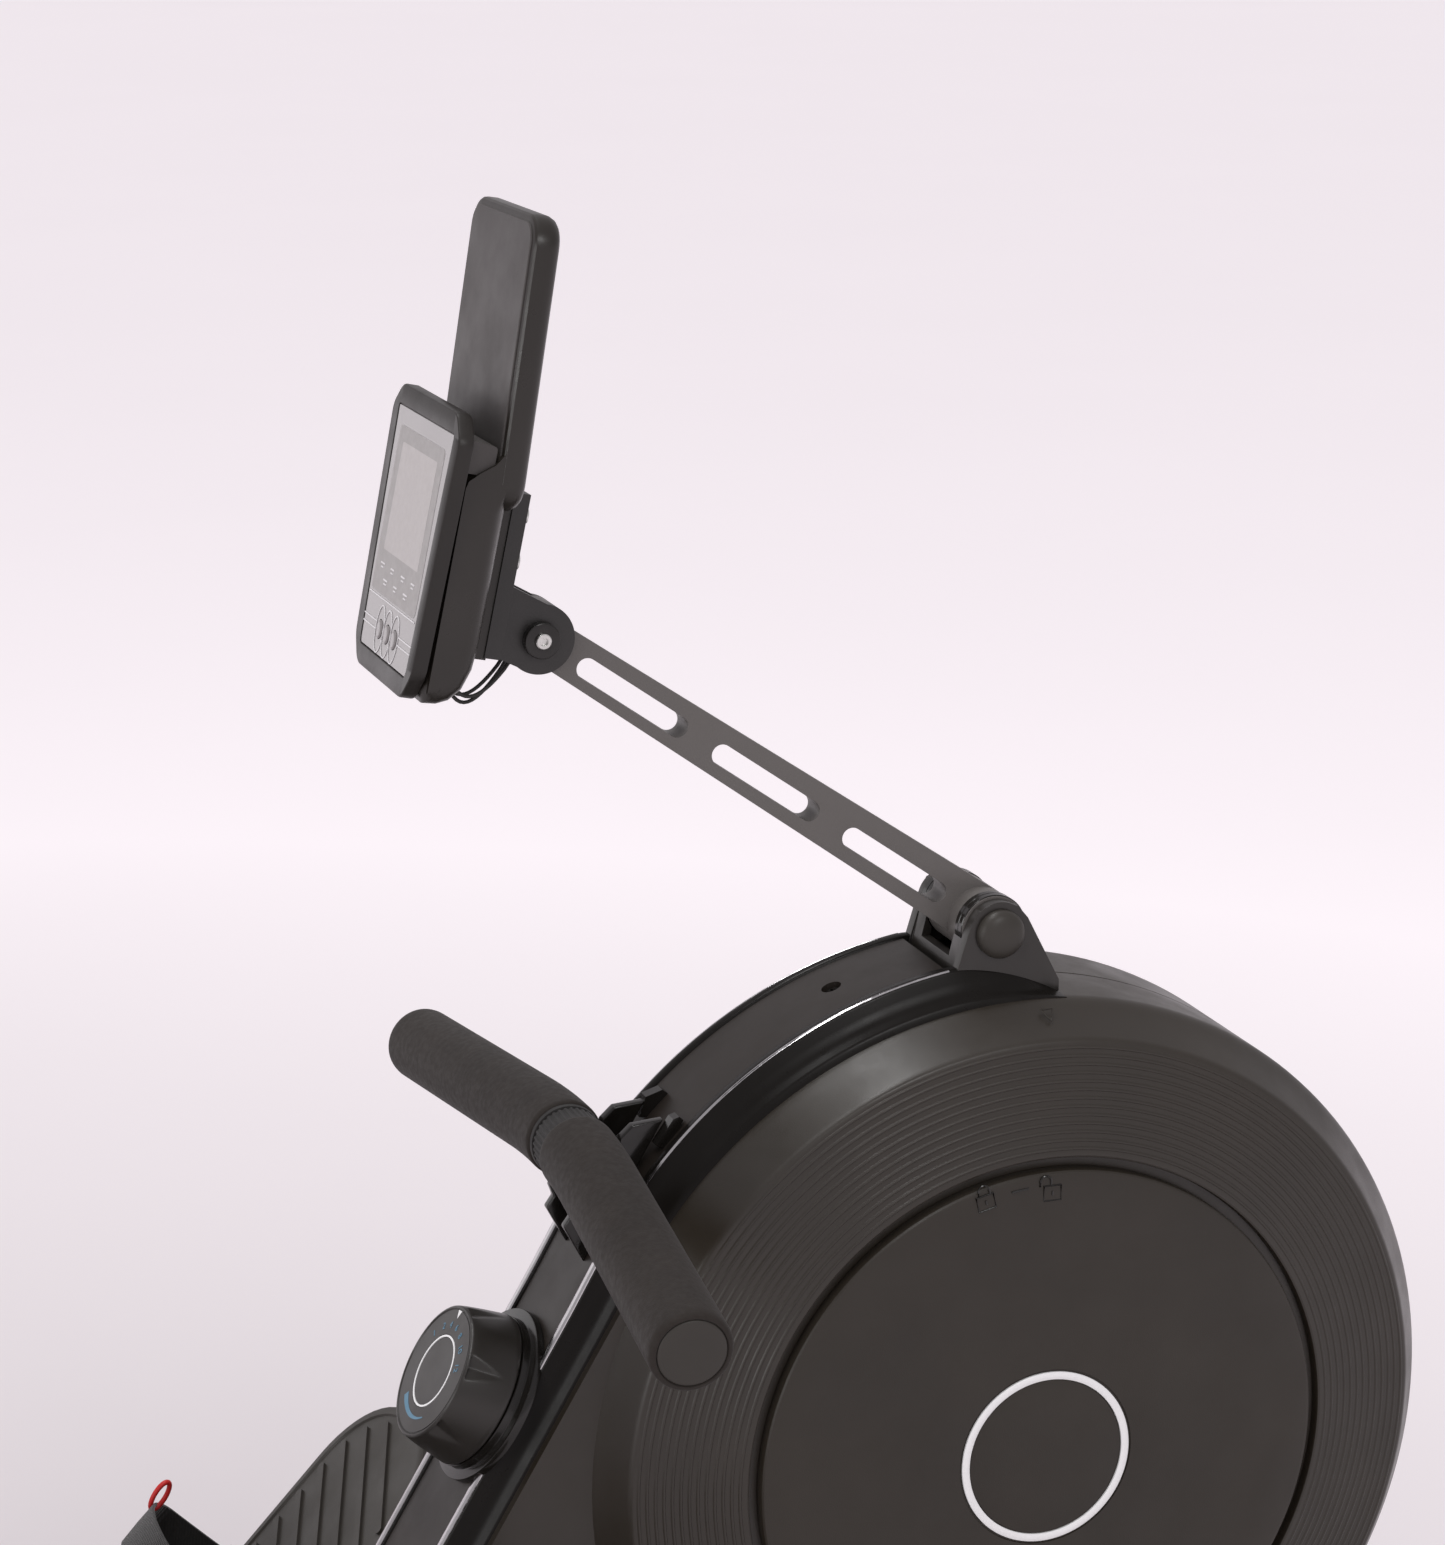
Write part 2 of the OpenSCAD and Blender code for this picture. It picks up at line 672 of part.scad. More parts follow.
main_frame();
front_stabiliser();
mid_stabiliser();
stabiliser_caps();
transport_wheel_right();
transport_wheel_left();
wheel_axles();
right_shell();
left_shell();
centre_strip();
cover_screws();
right_access_cover();
left_access_cover();
handle_holder();
flywheel_axle();
flywheel();
strap_reel();
brake_bracket();
brake_magnets();
tension_cable();
knob_base();
tension_knob();
console_mount();
mount_pivot_bolt();
console_arm();
arm_pivot_bolt();
console_bracket();
console_screws();
console_back();
console_bezel();
console_lens();
console_lcd();
button_left();
button_middle();
button_right();
console_wires();
handle_bar();
handle_grips();
handle_collar();
handle_end_caps();
pull_strap();
foot_axle_rod();
footplate_right();
footplate_left();
foot_strap_right();
foot_strap_left();
hinge_pin();
fold_pin();
rail();
rail_bracket();
rail_stops();
rail_end_cap();
rear_leg();
rear_feet();
seat_pad();
seat_carriage();
seat_axles();
rollers_front();
rollers_rear();
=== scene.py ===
"""Detail pieces, materials, lights and camera of the rowing machine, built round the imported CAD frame."""
import json
import math

import bmesh
import bpy
from mathutils import Matrix, Vector

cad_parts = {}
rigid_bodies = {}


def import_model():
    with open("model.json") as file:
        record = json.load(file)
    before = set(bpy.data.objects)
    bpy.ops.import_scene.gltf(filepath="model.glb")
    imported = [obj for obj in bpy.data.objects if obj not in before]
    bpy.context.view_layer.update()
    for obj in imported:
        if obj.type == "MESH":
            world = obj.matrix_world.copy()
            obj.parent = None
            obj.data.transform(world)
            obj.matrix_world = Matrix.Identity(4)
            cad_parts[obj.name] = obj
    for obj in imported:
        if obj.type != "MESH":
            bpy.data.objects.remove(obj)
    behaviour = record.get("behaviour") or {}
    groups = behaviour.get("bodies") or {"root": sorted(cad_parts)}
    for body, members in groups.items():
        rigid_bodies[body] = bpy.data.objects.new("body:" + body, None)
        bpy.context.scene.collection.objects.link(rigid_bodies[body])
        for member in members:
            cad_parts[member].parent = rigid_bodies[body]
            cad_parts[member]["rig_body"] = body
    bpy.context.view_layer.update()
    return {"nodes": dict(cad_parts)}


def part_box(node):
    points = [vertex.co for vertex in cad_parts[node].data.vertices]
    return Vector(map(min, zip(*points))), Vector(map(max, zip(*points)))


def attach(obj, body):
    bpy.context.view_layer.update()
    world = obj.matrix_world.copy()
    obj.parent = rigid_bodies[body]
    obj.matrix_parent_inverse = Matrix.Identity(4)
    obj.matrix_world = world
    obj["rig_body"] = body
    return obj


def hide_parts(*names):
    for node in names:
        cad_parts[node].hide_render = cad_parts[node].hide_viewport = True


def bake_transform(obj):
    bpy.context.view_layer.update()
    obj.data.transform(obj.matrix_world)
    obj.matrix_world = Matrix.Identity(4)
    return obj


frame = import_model()

# ---------- frames of reference: local numbers are millimetres ----------

MM = 0.001
axle_low, axle_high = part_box("flywheel_axle")
AXLE = Vector(((axle_low.x + axle_high.x) / 2, 0, (axle_low.z + axle_high.z) / 2))
MIRROR = Matrix.Scale(-1, 4, (0, 1, 0))
SIDES = ("right", "left")


def about_y(degrees):
    return Matrix.Rotation(math.radians(degrees), 4, "Y")


def moved(x, y, z):
    return Matrix.Translation((x, y, z))


WHEEL = Matrix.Translation(AXLE) @ Matrix.Scale(MM, 4)
# Local Z runs out of the machine's right side, and local X and Y are the machine's X and Z
SIDEWAYS = Matrix.Rotation(math.pi / 2, 4, "X")


def on_side(side, matrix=Matrix.Identity(4)):
    """A frame on the rower's right, or its mirror image on the left."""
    flip = MIRROR if side == "left" else Matrix.Identity(4)
    return WHEEL @ flip @ matrix @ SIDEWAYS


STRIP_R = 223
PANEL_ANGLE = 59.2
PANEL_R = 222
PANEL_LENGTH = 288
STRIP_END_ANGLE = 98.05
KNOB_DOWN = 94


def panel(down):
    """A frame on the panel: X runs up it and Z comes out of it."""
    angle = math.radians(PANEL_ANGLE)
    normal = Vector((-math.sin(angle), 0, math.cos(angle)))
    downward = Vector((-math.cos(angle), 0, -math.sin(angle)))
    at = PANEL_R * normal + down * downward
    return WHEEL @ moved(*at) @ about_y(-PANEL_ANGLE)


LOW_PIVOT = (-7, 237)
HIGH_PIVOT = (-215.93, 384.93)
CONSOLE = WHEEL @ moved(HIGH_PIVOT[0], 0, HIGH_PIVOT[1]) @ about_y(12)
# Outlines drawn in the console's Y and Z, raised along its X
FACE = CONSOLE @ Matrix(((0, 0, 1, 0), (1, 0, 0, 0), (0, 1, 0, 0), (0, 0, 0, 1)))
FACE_X = -64.6
HANDLE_CENTRE = (-202, 150)
HANDLE_LEAN = math.degrees(math.atan2(17.4, 13))
STRAP_LEAN = math.degrees(math.atan2(202, 150))
FOOT_MIDDLE = (-343, -112, -128)
FOOT_ANGLE = 46.8
RAIL_TOP = 230
SEAT_X = -1000


def foot(side):
    """A frame on the sole: X runs up to the toe and Z comes out of it."""
    flip = MIRROR if side == "left" else Matrix.Identity(4)
    return WHEEL @ flip @ moved(*FOOT_MIDDLE) @ about_y(-FOOT_ANGLE)


# ---------- materials ----------


class Nodes:
    """A material's node tree, with short ways to add to it."""

    def __init__(self, name):
        self.material = bpy.data.materials.new(name)
        self.material.use_nodes = True
        self.tree = self.material.node_tree
        self.shader = self.tree.nodes["Principled BSDF"]
        self.place = self.add("ShaderNodeTexCoord").outputs["Object"]

    def add(self, kind, **settings):
        node = self.tree.nodes.new(kind)
        for key, value in settings.items():
            setattr(node, key, value)
        return node

    def link(self, source, target):
        self.tree.links.new(source, target)

    def set(self, **values):
        for key, value in values.items():
            self.shader.inputs[key.replace("_", " ")].default_value = value

    def stretched(self, scale):
        mapping = self.add("ShaderNodeMapping")
        self.link(self.place, mapping.inputs["Vector"])
        mapping.inputs["Scale"].default_value = scale
        return mapping.outputs["Vector"]

    def noise(self, scale, detail=3.0, roughness=0.55, stretch=None):
        node = self.add("ShaderNodeTexNoise")
        self.link(self.stretched(stretch) if stretch else self.place, node.inputs["Vector"])
        node.inputs["Scale"].default_value = scale
        node.inputs["Detail"].default_value = detail
        node.inputs["Roughness"].default_value = roughness
        return node.outputs["Fac"]

    def ramp(self, factor, stops):
        node = self.add("ShaderNodeValToRGB")
        self.link(factor, node.inputs["Fac"])
        elements = node.color_ramp.elements
        while len(elements) < len(stops):
            elements.new(0.5)
        for element, (position, colour) in zip(elements, stops):
            element.position = position
            element.color = (*colour, 1) if len(colour) == 3 else colour
        return node.outputs["Color"]

    def levels(self, factor, low, high, start=0.35, end=0.65):
        """A noise spread from one grey level to another."""
        node = self.add("ShaderNodeMapRange")
        self.link(factor, node.inputs["Value"])
        for socket, value in zip(("From Min", "From Max", "To Min", "To Max"), (start, end, low, high)):
            node.inputs[socket].default_value = value
        return node.outputs["Result"]

    def bump(self, height, strength, distance, after=None):
        node = self.add("ShaderNodeBump")
        node.inputs["Strength"].default_value = strength
        node.inputs["Distance"].default_value = distance
        self.link(height, node.inputs["Height"])
        if after is not None:
            self.link(after, node.inputs["Normal"])
        return node.outputs["Normal"]

    def finish(self, colour=None, roughness=None, normal=None):
        for socket, source in (("Base Color", colour), ("Roughness", roughness), ("Normal", normal)):
            if source is not None:
                self.link(source, self.shader.inputs[socket])
        return self.material


def shade(colour, amount):
    return tuple(min(1.0, c * amount) for c in colour)


def plastic(name, colour, rough, grain=1800, depth=0.00006, spread=0.05, vary=0.12, coat=0.0,
            specular=0.34):
    """Moulded plastic: fine texture, faint flow marks in the colour, and handled patches in the gloss."""
    n = Nodes(name)
    n.set(Specular_IOR_Level=specular, Coat_Weight=coat, Coat_Roughness=0.06)
    clouds = n.noise(14, 4)
    fine = n.noise(grain, 2, 0.6)
    tint = n.ramp(clouds, [(0.3, shade(colour, 1 - vary)), (0.7, shade(colour, 1 + vary))])
    gloss = n.levels(n.noise(38, 5, 0.62), rough - spread, rough + spread)
    return n.finish(tint, gloss, n.bump(fine, 0.5, depth))


def coated_steel(name, colour, rough):
    """Powder coat: a close orange peel under small glints."""
    n = Nodes(name)
    n.set(Specular_IOR_Level=0.5)
    peel = n.noise(1500, 2, 0.5)
    speck = n.noise(5200, 1, 0.5)
    tint = n.ramp(speck, [(0.42, shade(colour, 0.86)), (0.66, shade(colour, 1.3))])
    gloss = n.levels(n.noise(60, 4), rough - 0.06, rough + 0.06)
    return n.finish(tint, gloss, n.bump(peel, 0.55, 0.00012))


def metal(name, colour, rough, stretch, grain=900):
    """Metal with the lines of drawing, turning or brushing along one axis."""
    n = Nodes(name)
    n.set(Metallic=1.0)
    lines = n.noise(grain, 3, 0.6, stretch)
    stain = n.noise(22, 5, 0.6)
    tint = n.ramp(stain, [(0.3, shade(colour, 0.82)), (0.7, shade(colour, 1.06))])
    return n.finish(tint, n.levels(lines, rough - 0.09, rough + 0.11), n.bump(lines, 0.25, 0.00004))


def foam_rubber(name, colour):
    """Closed-cell foam with a fine skin."""
    n = Nodes(name)
    n.set(Specular_IOR_Level=0.22, Sheen_Weight=0.06, Sheen_Roughness=0.5)
    cells = n.add("ShaderNodeTexVoronoi")
    n.link(n.place, cells.inputs["Vector"])
    cells.inputs["Scale"].default_value = 1500
    skin = n.noise(320, 4, 0.6)
    tint = n.ramp(n.noise(46, 5, 0.6), [(0.3, shade(colour, 0.84)), (0.7, shade(colour, 1.14))])
    first = n.bump(cells.outputs["Distance"], 0.35, 0.00012)
    return n.finish(tint, n.levels(skin, 0.62, 0.8), n.bump(skin, 0.3, 0.0001, first))


def rubber(name, colour, rough=0.62):
    n = Nodes(name)
    n.set(Specular_IOR_Level=0.4)
    dust = n.ramp(n.noise(90, 6, 0.7), [(0.45, colour), (0.8, shade(colour, 2.0))])
    return n.finish(dust, n.levels(n.noise(30, 4), rough - 0.08, rough + 0.1),
                    n.bump(n.noise(1300, 2), 0.5, 0.0001))


def woven(name, colour, axis_scale):
    """Webbing: close crosswise picks over lengthwise ribs. axis_scale stretches the weave along each axis."""
    n = Nodes(name)
    n.set(Specular_IOR_Level=0.25, Sheen_Weight=0.25, Sheen_Roughness=0.5)
    place = n.stretched(axis_scale)
    heights = []
    for direction, scale in (("X", 420), ("Y", 260)):
        wave = n.add("ShaderNodeTexWave", bands_direction=direction)
        n.link(place, wave.inputs["Vector"])
        wave.inputs["Scale"].default_value = scale
        wave.inputs["Distortion"].default_value = 0.6
        heights.append(wave.outputs["Fac"])
    # The colour follows the weave's height: painted shade in its hollows and painted highlight on its raised
    # picks
    tint = n.ramp(heights[0], [(0.2, shade(colour, 0.6)), (0.8, shade(colour, 1.7))])
    first = n.bump(heights[0], 0.6, 0.0003)
    return n.finish(tint, n.levels(n.noise(400, 3), 0.75, 0.95), n.bump(heights[1], 0.5, 0.0003, first))


def vinyl(name, colour):
    """Upholstery vinyl with a leather grain."""
    n = Nodes(name)
    n.set(Specular_IOR_Level=0.45, Coat_Weight=0.08, Coat_Roughness=0.35)
    cells = n.add("ShaderNodeTexVoronoi", feature="DISTANCE_TO_EDGE")
    warp = n.add("ShaderNodeVectorMath", operation="ADD")
    shift = n.add("ShaderNodeTexNoise")
    n.link(n.place, shift.inputs["Vector"])
    shift.inputs["Scale"].default_value = 260
    tame = n.add("ShaderNodeVectorMath", operation="SCALE")
    tame.inputs["Scale"].default_value = 0.0016
    n.link(shift.outputs["Color"], tame.inputs[0])
    n.link(n.place, warp.inputs[0])
    n.link(tame.outputs["Vector"], warp.inputs[1])
    n.link(warp.outputs["Vector"], cells.inputs["Vector"])
    cells.inputs["Scale"].default_value = 620
    grain = n.levels(cells.outputs["Distance"], 0.0, 1.0, 0.0, 0.12)
    tint = n.ramp(n.noise(16, 5, 0.6), [(0.3, shade(colour, 0.85)), (0.7, shade(colour, 1.2))])
    return n.finish(tint, n.levels(n.noise(30, 4), 0.4, 0.55), n.bump(grain, 0.4, 0.00018))


def glass_panel(name, colour):
    """The console's window: dark printed film under a clear glossy skin."""
    n = Nodes(name)
    n.set(Specular_IOR_Level=0.4, Coat_Weight=0.25, Coat_Roughness=0.08)
    smear = n.noise(40, 5, 0.65)
    tint = n.ramp(smear, [(0.3, shade(colour, 0.94)), (0.7, shade(colour, 1.06))])
    return n.finish(tint, n.levels(smear, 0.12, 0.22))


def ink(name, colour, rough=0.4):
    n = Nodes(name)
    tint = n.ramp(n.noise(900, 2), [(0.3, shade(colour, 0.97)), (0.7, shade(colour, 1.02))])
    return n.finish(tint, n.levels(n.noise(300, 2), rough - 0.05, rough + 0.05))


WARM = (0.0225, 0.0178, 0.0125)
MATERIALS = {
    "shell": plastic("shell_plastic", WARM, 0.37, grain=2100, depth=0.00008, specular=0.5),
    "cover": plastic("cover_plastic", WARM, 0.45, grain=1700, depth=0.0001, specular=0.42),
    "strip": plastic("strip_plastic", (0.021, 0.0167, 0.0136), 0.38, grain=2600, depth=0.00005,
                     specular=0.28),
    "gloss": plastic("gloss_black", (0.0085, 0.0074, 0.0062), 0.22, grain=900, depth=0.00001, coat=0.2),
    # Painted highlight: a bright metal stands in for the white highlight on the rim's glossy black edge
    "painted_highlight": metal("painted_highlight_metal", (0.55, 0.54, 0.55), 0.14, (1, 1, 1), 200),
    "rim": plastic("rim_gloss", (0.007, 0.006, 0.005), 0.3, grain=900, depth=0.00001, specular=0.14),
    "knob": plastic("knob_plastic", (0.021, 0.0185, 0.016), 0.33, grain=1500, depth=0.00003, specular=0.45),
    "cap": plastic("cap_plastic", (0.036, 0.032, 0.027), 0.44, grain=1500, depth=0.00008),
    "console": plastic("console_plastic", (0.0155, 0.0128, 0.0102), 0.32, grain=2400, depth=0.00006,
                       specular=0.45),
    "bezel": plastic("bezel_plastic", (0.0165, 0.0142, 0.0124), 0.38, grain=2400, depth=0.00005),
    "slab": plastic("slab_plastic", (0.05, 0.045, 0.043), 0.48, grain=2600, depth=0.00003, specular=0.45),
    "arm": coated_steel("arm_coat", (0.105, 0.097, 0.091), 0.42),
    "steel": coated_steel("painted_steel", (0.018, 0.0165, 0.0155), 0.38),
    "zinc": metal("zinc", (0.62, 0.62, 0.6), 0.3, (1, 12, 1)),
    "iron": metal("iron", (0.32, 0.31, 0.3), 0.42, (1, 20, 1), 500),
    "aluminium": metal("aluminium", (0.66, 0.66, 0.67), 0.32, (0.03, 1, 1), 1400),
    "foam": foam_rubber("foam", (0.022, 0.0175, 0.0145)),
    "rubber": rubber("rubber", (0.02, 0.019, 0.018)),
    "tyre": rubber("wheel_rubber", (0.03, 0.029, 0.028), 0.55),
    "webbing": woven("webbing", (0.006, 0.0052, 0.0045), (1, 1, 1)),
    "vinyl": vinyl("vinyl", (0.022, 0.0205, 0.0195)),
    "nylon": plastic("roller_nylon", (0.62, 0.6, 0.56), 0.45, vary=0.05),
    "red": plastic("red", (0.5, 0.02, 0.018), 0.4),
    "lens": glass_panel("lens", (0.22, 0.205, 0.205)),
    "screen_frame": ink("lcd_frame", (0.33, 0.315, 0.31), 0.45),
    "lcd": ink("lcd", (0.45, 0.425, 0.42), 0.45),
    "white": ink("white_ring", (0.86, 0.86, 0.86), 0.35),
    "pale": ink("pale_print", (0.66, 0.65, 0.66), 0.4),
    "blue": ink("blue_print", (0.075, 0.20, 0.30), 0.4),
}

# ---------- mesh helpers: all of them work in a bmesh and in local millimetres ----------


def loft(bm, rings, closed=True, ends=True):
    """Joins rings of points, each one closed, into a skin. closed joins the last ring to the first."""
    rows = [[bm.verts.new(p) for p in ring] for ring in rings]
    count = len(rows[0])
    pairs = list(zip(rows, rows[1:])) + ([(rows[-1], rows[0])] if closed else [])
    for a, b in pairs:
        for i in range(count):
            j = (i + 1) % count
            bm.faces.new((a[i], a[j], b[j], b[i]))
    if ends and not closed:
        bm.faces.new(rows[0])
        bm.faces.new(list(reversed(rows[-1])))
    return rows


def lathe(bm, profile, steps=128):
    """Turns an open outline of (radius, height) about local Z. Points on the axis become a single point."""
    rows = []
    for radius, height in profile:
        if radius < 1e-6:
            rows.append([bm.verts.new((0, 0, height))])
            continue
        turn = [2 * math.pi * i / steps for i in range(steps)]
        rows.append([bm.verts.new((radius * math.cos(t), radius * math.sin(t), height)) for t in turn])
    for a, b in zip(rows, rows[1:]):
        for i in range(steps):
            j = (i + 1) % steps
            corners = [a[i % len(a)], a[j % len(a)], b[j % len(b)], b[i % len(b)]]
            face = list(dict.fromkeys(corners))
            if len(face) > 2:
                bm.faces.new(face)
    return rows


def closed_lathe(bm, profile, steps=128):
    """Turns a closed outline of (radius, height) about local Z into a ring."""
    turns = [2 * math.pi * i / steps for i in range(steps)]
    loft(bm, [[(r * math.cos(t), r * math.sin(t), h) for r, h in profile] for t in turns])


def prism(bm, outline, low, high):
    """Raises an outline in local X and Y from one height to another."""
    loft(bm, [[(x, y, low) for x, y in outline], [(x, y, high) for x, y in outline]], closed=False)


def rounded(points, radius, steps=5):
    """An outline with its corners rounded. radius is one number, or one for each corner."""
    result = []
    count = len(points)
    for i in range(count):
        r = radius[i] if isinstance(radius, (list, tuple)) else radius
        before, at, after = (Vector(points[k % count]) for k in (i - 1, i, i + 1))
        if r <= 0:
            result.append(tuple(at))
            continue
        u, v = (before - at).normalized(), (after - at).normalized()
        half = math.acos(max(-1, min(1, u.dot(v)))) / 2
        reach = min(r / math.tan(half), 0.49 * (before - at).length, 0.49 * (after - at).length)
        r = reach * math.tan(half)
        centre = at + (u + v).normalized() * (r / math.sin(half))
        start, end = at + u * reach - centre, at + v * reach - centre
        turn = start.angle_signed(end)
        for k in range(steps + 1):
            result.append(tuple(centre + Matrix.Rotation(-turn * k / steps, 2) @ start))
    return result


def rectangle(width, length, radius, middle=(0, 0), steps=6):
    x, y = width / 2, length / 2
    corners = [(-x, -y), (x, -y), (x, y), (-x, y)]
    return [(middle[0] + p[0], middle[1] + p[1]) for p in rounded(corners, radius, steps)]


def tube(bm, path, radius, sides=12, ends=True):
    """A round tube along local points. radius is a number or a function of the share of the way."""
    rings = []
    up = Vector((0, 1, 0))
    for i, point in enumerate(path):
        here = Vector(point)
        ahead = Vector(path[min(i + 1, len(path) - 1)]) - Vector(path[max(i - 1, 0)])
        ahead.normalize()
        side = up.cross(ahead)
        if side.length < 1e-3:
            side = Vector((1, 0, 0)).cross(ahead)
        side.normalize()
        across = ahead.cross(side)
        r = radius(i / (len(path) - 1)) if callable(radius) else radius
        turns = [2 * math.pi * k / sides for k in range(sides)]
        rings.append([here + r * (math.cos(t) * side + math.sin(t) * across) for t in turns])
    loft(bm, rings, closed=False, ends=ends)


def bevel(bm, width, segments=2, angle=30):
    """Rounds every edge where the surface turns by more than the angle."""
    limit = math.radians(angle)
    edges = [e for e in bm.edges if len(e.link_faces) == 2 and e.calc_face_angle() > limit]
    bmesh.ops.bevel(bm, geom=edges, offset=width, segments=segments, profile=0.6,
                    affect="EDGES", clamp_overlap=True)


def piece(name, bm, matrix, body, material, replaces=(), smooth=35, blend=None):
    """Makes a bmesh in local millimetres into an object of the machine."""
    bm.transform(matrix)
    bmesh.ops.recalc_face_normals(bm, faces=bm.faces)
    mesh = bpy.data.meshes.new(name)
    bm.to_mesh(mesh)
    bm.free()
    return dress(name, mesh, body, material, replaces, smooth, blend)


def bm_to_mesh(bm):
    mesh = bpy.data.meshes.new("part")
    bm.to_mesh(mesh)
    bm.free()
    return mesh


def opened(mesh):
    """A bmesh of a mesh, which is removed."""
    bm = bmesh.new()
    bm.from_mesh(mesh)
    bpy.data.meshes.remove(mesh)
    return bm


def merge(bm, part):
    """Adds one bmesh to another."""
    mesh = bm_to_mesh(part)
    bm.from_mesh(mesh)
    bpy.data.meshes.remove(mesh)


def stack(bm, layers, outline, base=0.0):
    """Joins layers of (inset, height) over a base, each with its own outline(inset)."""
    loft(bm, [[(x, y, base + height) for x, y in outline(inset)] for inset, height in layers], closed=False)


def dress(name, mesh, body, material, replaces=(), smooth=35, blend=None):
    mesh.materials.clear()
    mesh.materials.append(MATERIALS[material])
    mesh.shade_smooth()
    mesh.set_sharp_from_angle(angle=math.radians(smooth))
    obj = bpy.data.objects.new(name, mesh)
    bpy.context.scene.collection.objects.link(obj)
    if blend:
        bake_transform(obj)
    else:
        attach(obj, body)
    if replaces:
        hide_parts(*replaces)
    return obj


def refine(node, material, width=0.6, segments=2, angle=28, smooth=30):
    """A copy of a CAD node with its edges broken, which stands for the node."""
    source = frame["nodes"][node]
    bm = bmesh.new()
    bm.from_mesh(source.data)
    bmesh.ops.remove_doubles(bm, verts=bm.verts, dist=2e-6)
    bmesh.ops.dissolve_limit(bm, verts=bm.verts, edges=bm.edges, angle_limit=math.radians(0.4))
    if width:
        bevel(bm, width * MM, segments, angle)
    still = Matrix.Identity(4)
    return piece(node + "_detail", bm, still, source["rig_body"], material, (node,), smooth)


def boolean(base, others, operation):
    """The union or difference of meshes, as a new mesh. The meshes that go in are removed."""
    obj = bpy.data.objects.new("work", base)
    bpy.context.scene.collection.objects.link(obj)
    tools = []
    for mesh in others:
        tool = bpy.data.objects.new("tool", mesh)
        bpy.context.scene.collection.objects.link(tool)
        modifier = obj.modifiers.new("cut", "BOOLEAN")
        modifier.object, modifier.operation, modifier.solver = tool, operation, "EXACT"
        tools.append(tool)
    bpy.context.view_layer.update()
    evaluated = obj.evaluated_get(bpy.context.evaluated_depsgraph_get())
    result = bpy.data.meshes.new_from_object(evaluated)
    for done in [obj, *tools]:
        mesh = done.data
        bpy.data.objects.remove(done)
        bpy.data.meshes.remove(mesh)
    return result


def raw(fill, matrix=Matrix.Identity(4)):
    """A mesh made by fill(bmesh), in local millimetres."""
    bm = bmesh.new()
    fill(bm)
    bm.transform(matrix)
    bmesh.ops.recalc_face_normals(bm, faces=bm.faces)
    return bm_to_mesh(bm)


# ---------- camera, lights and floor ----------


def aim(obj, at, target):
    obj.location = at
    obj.rotation_euler = (Vector(target) - Vector(at)).to_track_quat("-Z", "Y").to_euler()


def make_camera():
    data = bpy.data.cameras.new("camera")
    data.lens = 89.92
    data.sensor_width = 36
    camera = bpy.data.objects.new("camera", data)
    bpy.context.scene.collection.objects.link(camera)
    right, up = Vector((0.94141, -0.33727, 0)), Vector((0.08622, 0.24065, 0.96678))
    back = right.cross(up)
    camera.matrix_world = Matrix((right, up, back)).transposed().to_4x4()
    camera.location = AXLE + Vector((-0.6867, -1.5573, 0.7526))
    bpy.context.scene.camera = camera


def softbox(name, at, target, size, power, tint=(1, 1, 1)):
    data = bpy.data.lights.new(name, "AREA")
    data.shape = "RECTANGLE"
    data.size, data.size_y = size
    data.energy = power
    data.color = tint
    lamp = bpy.data.objects.new(name, data)
    bpy.context.scene.collection.objects.link(lamp)
    aim(lamp, at, target)
    lamp.visible_camera = False


FLOOR_REACH = 40
FLOOR_GLOW = 0.5


def make_floor():
    """A plain pale floor. It glows a little away from the machine, as a floor lit from all round does."""
    bm = bmesh.new()
    corners = ((-1, -1), (1, -1), (1, 1), (-1, 1))
    bm.faces.new([bm.verts.new((x * FLOOR_REACH, y * FLOOR_REACH, 0)) for x, y in corners])
    mesh = bpy.data.meshes.new("floor")
    bm.to_mesh(mesh)
    bm.free()
    n = Nodes("floor")
    tint = n.ramp(n.noise(1.2, 4), [(0.3, (0.70, 0.66, 0.675)), (0.7, (0.715, 0.675, 0.69))])
    n.set(Emission_Color=(0.93, 0.875, 0.92, 1))
    away = n.add("ShaderNodeVectorMath", operation="LENGTH")
    n.link(n.place, away.inputs[0])
    glow = n.levels(away.outputs["Value"], 0.0, FLOOR_GLOW, 0.6, 2.4)
    n.link(glow, n.shader.inputs["Emission Strength"])
    n.finish(tint, n.levels(n.noise(3, 3), 0.75, 0.85))
    mesh.materials.append(n.material)
    floor = bpy.data.objects.new("floor", mesh)
    bpy.context.scene.collection.objects.link(floor)


def make_studio():
    target = AXLE + Vector((-0.1, 0, 0.1))
    softbox("overhead", AXLE + Vector((-0.5, 0.1, 2.3)), target, (2.4, 0.32), 26)
    softbox("left_side", AXLE + Vector((-3.4, -1.5, 0.7)), target, (1.2, 1.2), 22)
    softbox("front_fill", AXLE + Vector((0.3, -3.2, 2.2)), target, (0.8, 0.8), 21)
    softbox("behind_left", AXLE + Vector((-0.86, 1.3, 0.27)), target, (0.62, 0.46), 0.5)
    world = bpy.data.worlds.new("studio")
    bpy.context.scene.world = world
    world.use_nodes = True
    light = world.node_tree.nodes["Background"]
    light.inputs["Color"].default_value = (0.91, 0.865, 0.90, 1)
    light.inputs["Strength"].default_value = 0.6
    make_floor()
    bpy.context.scene.view_settings.view_transform = "Standard"


# ---------- flywheel housing ----------

RIB_COUNT = 13


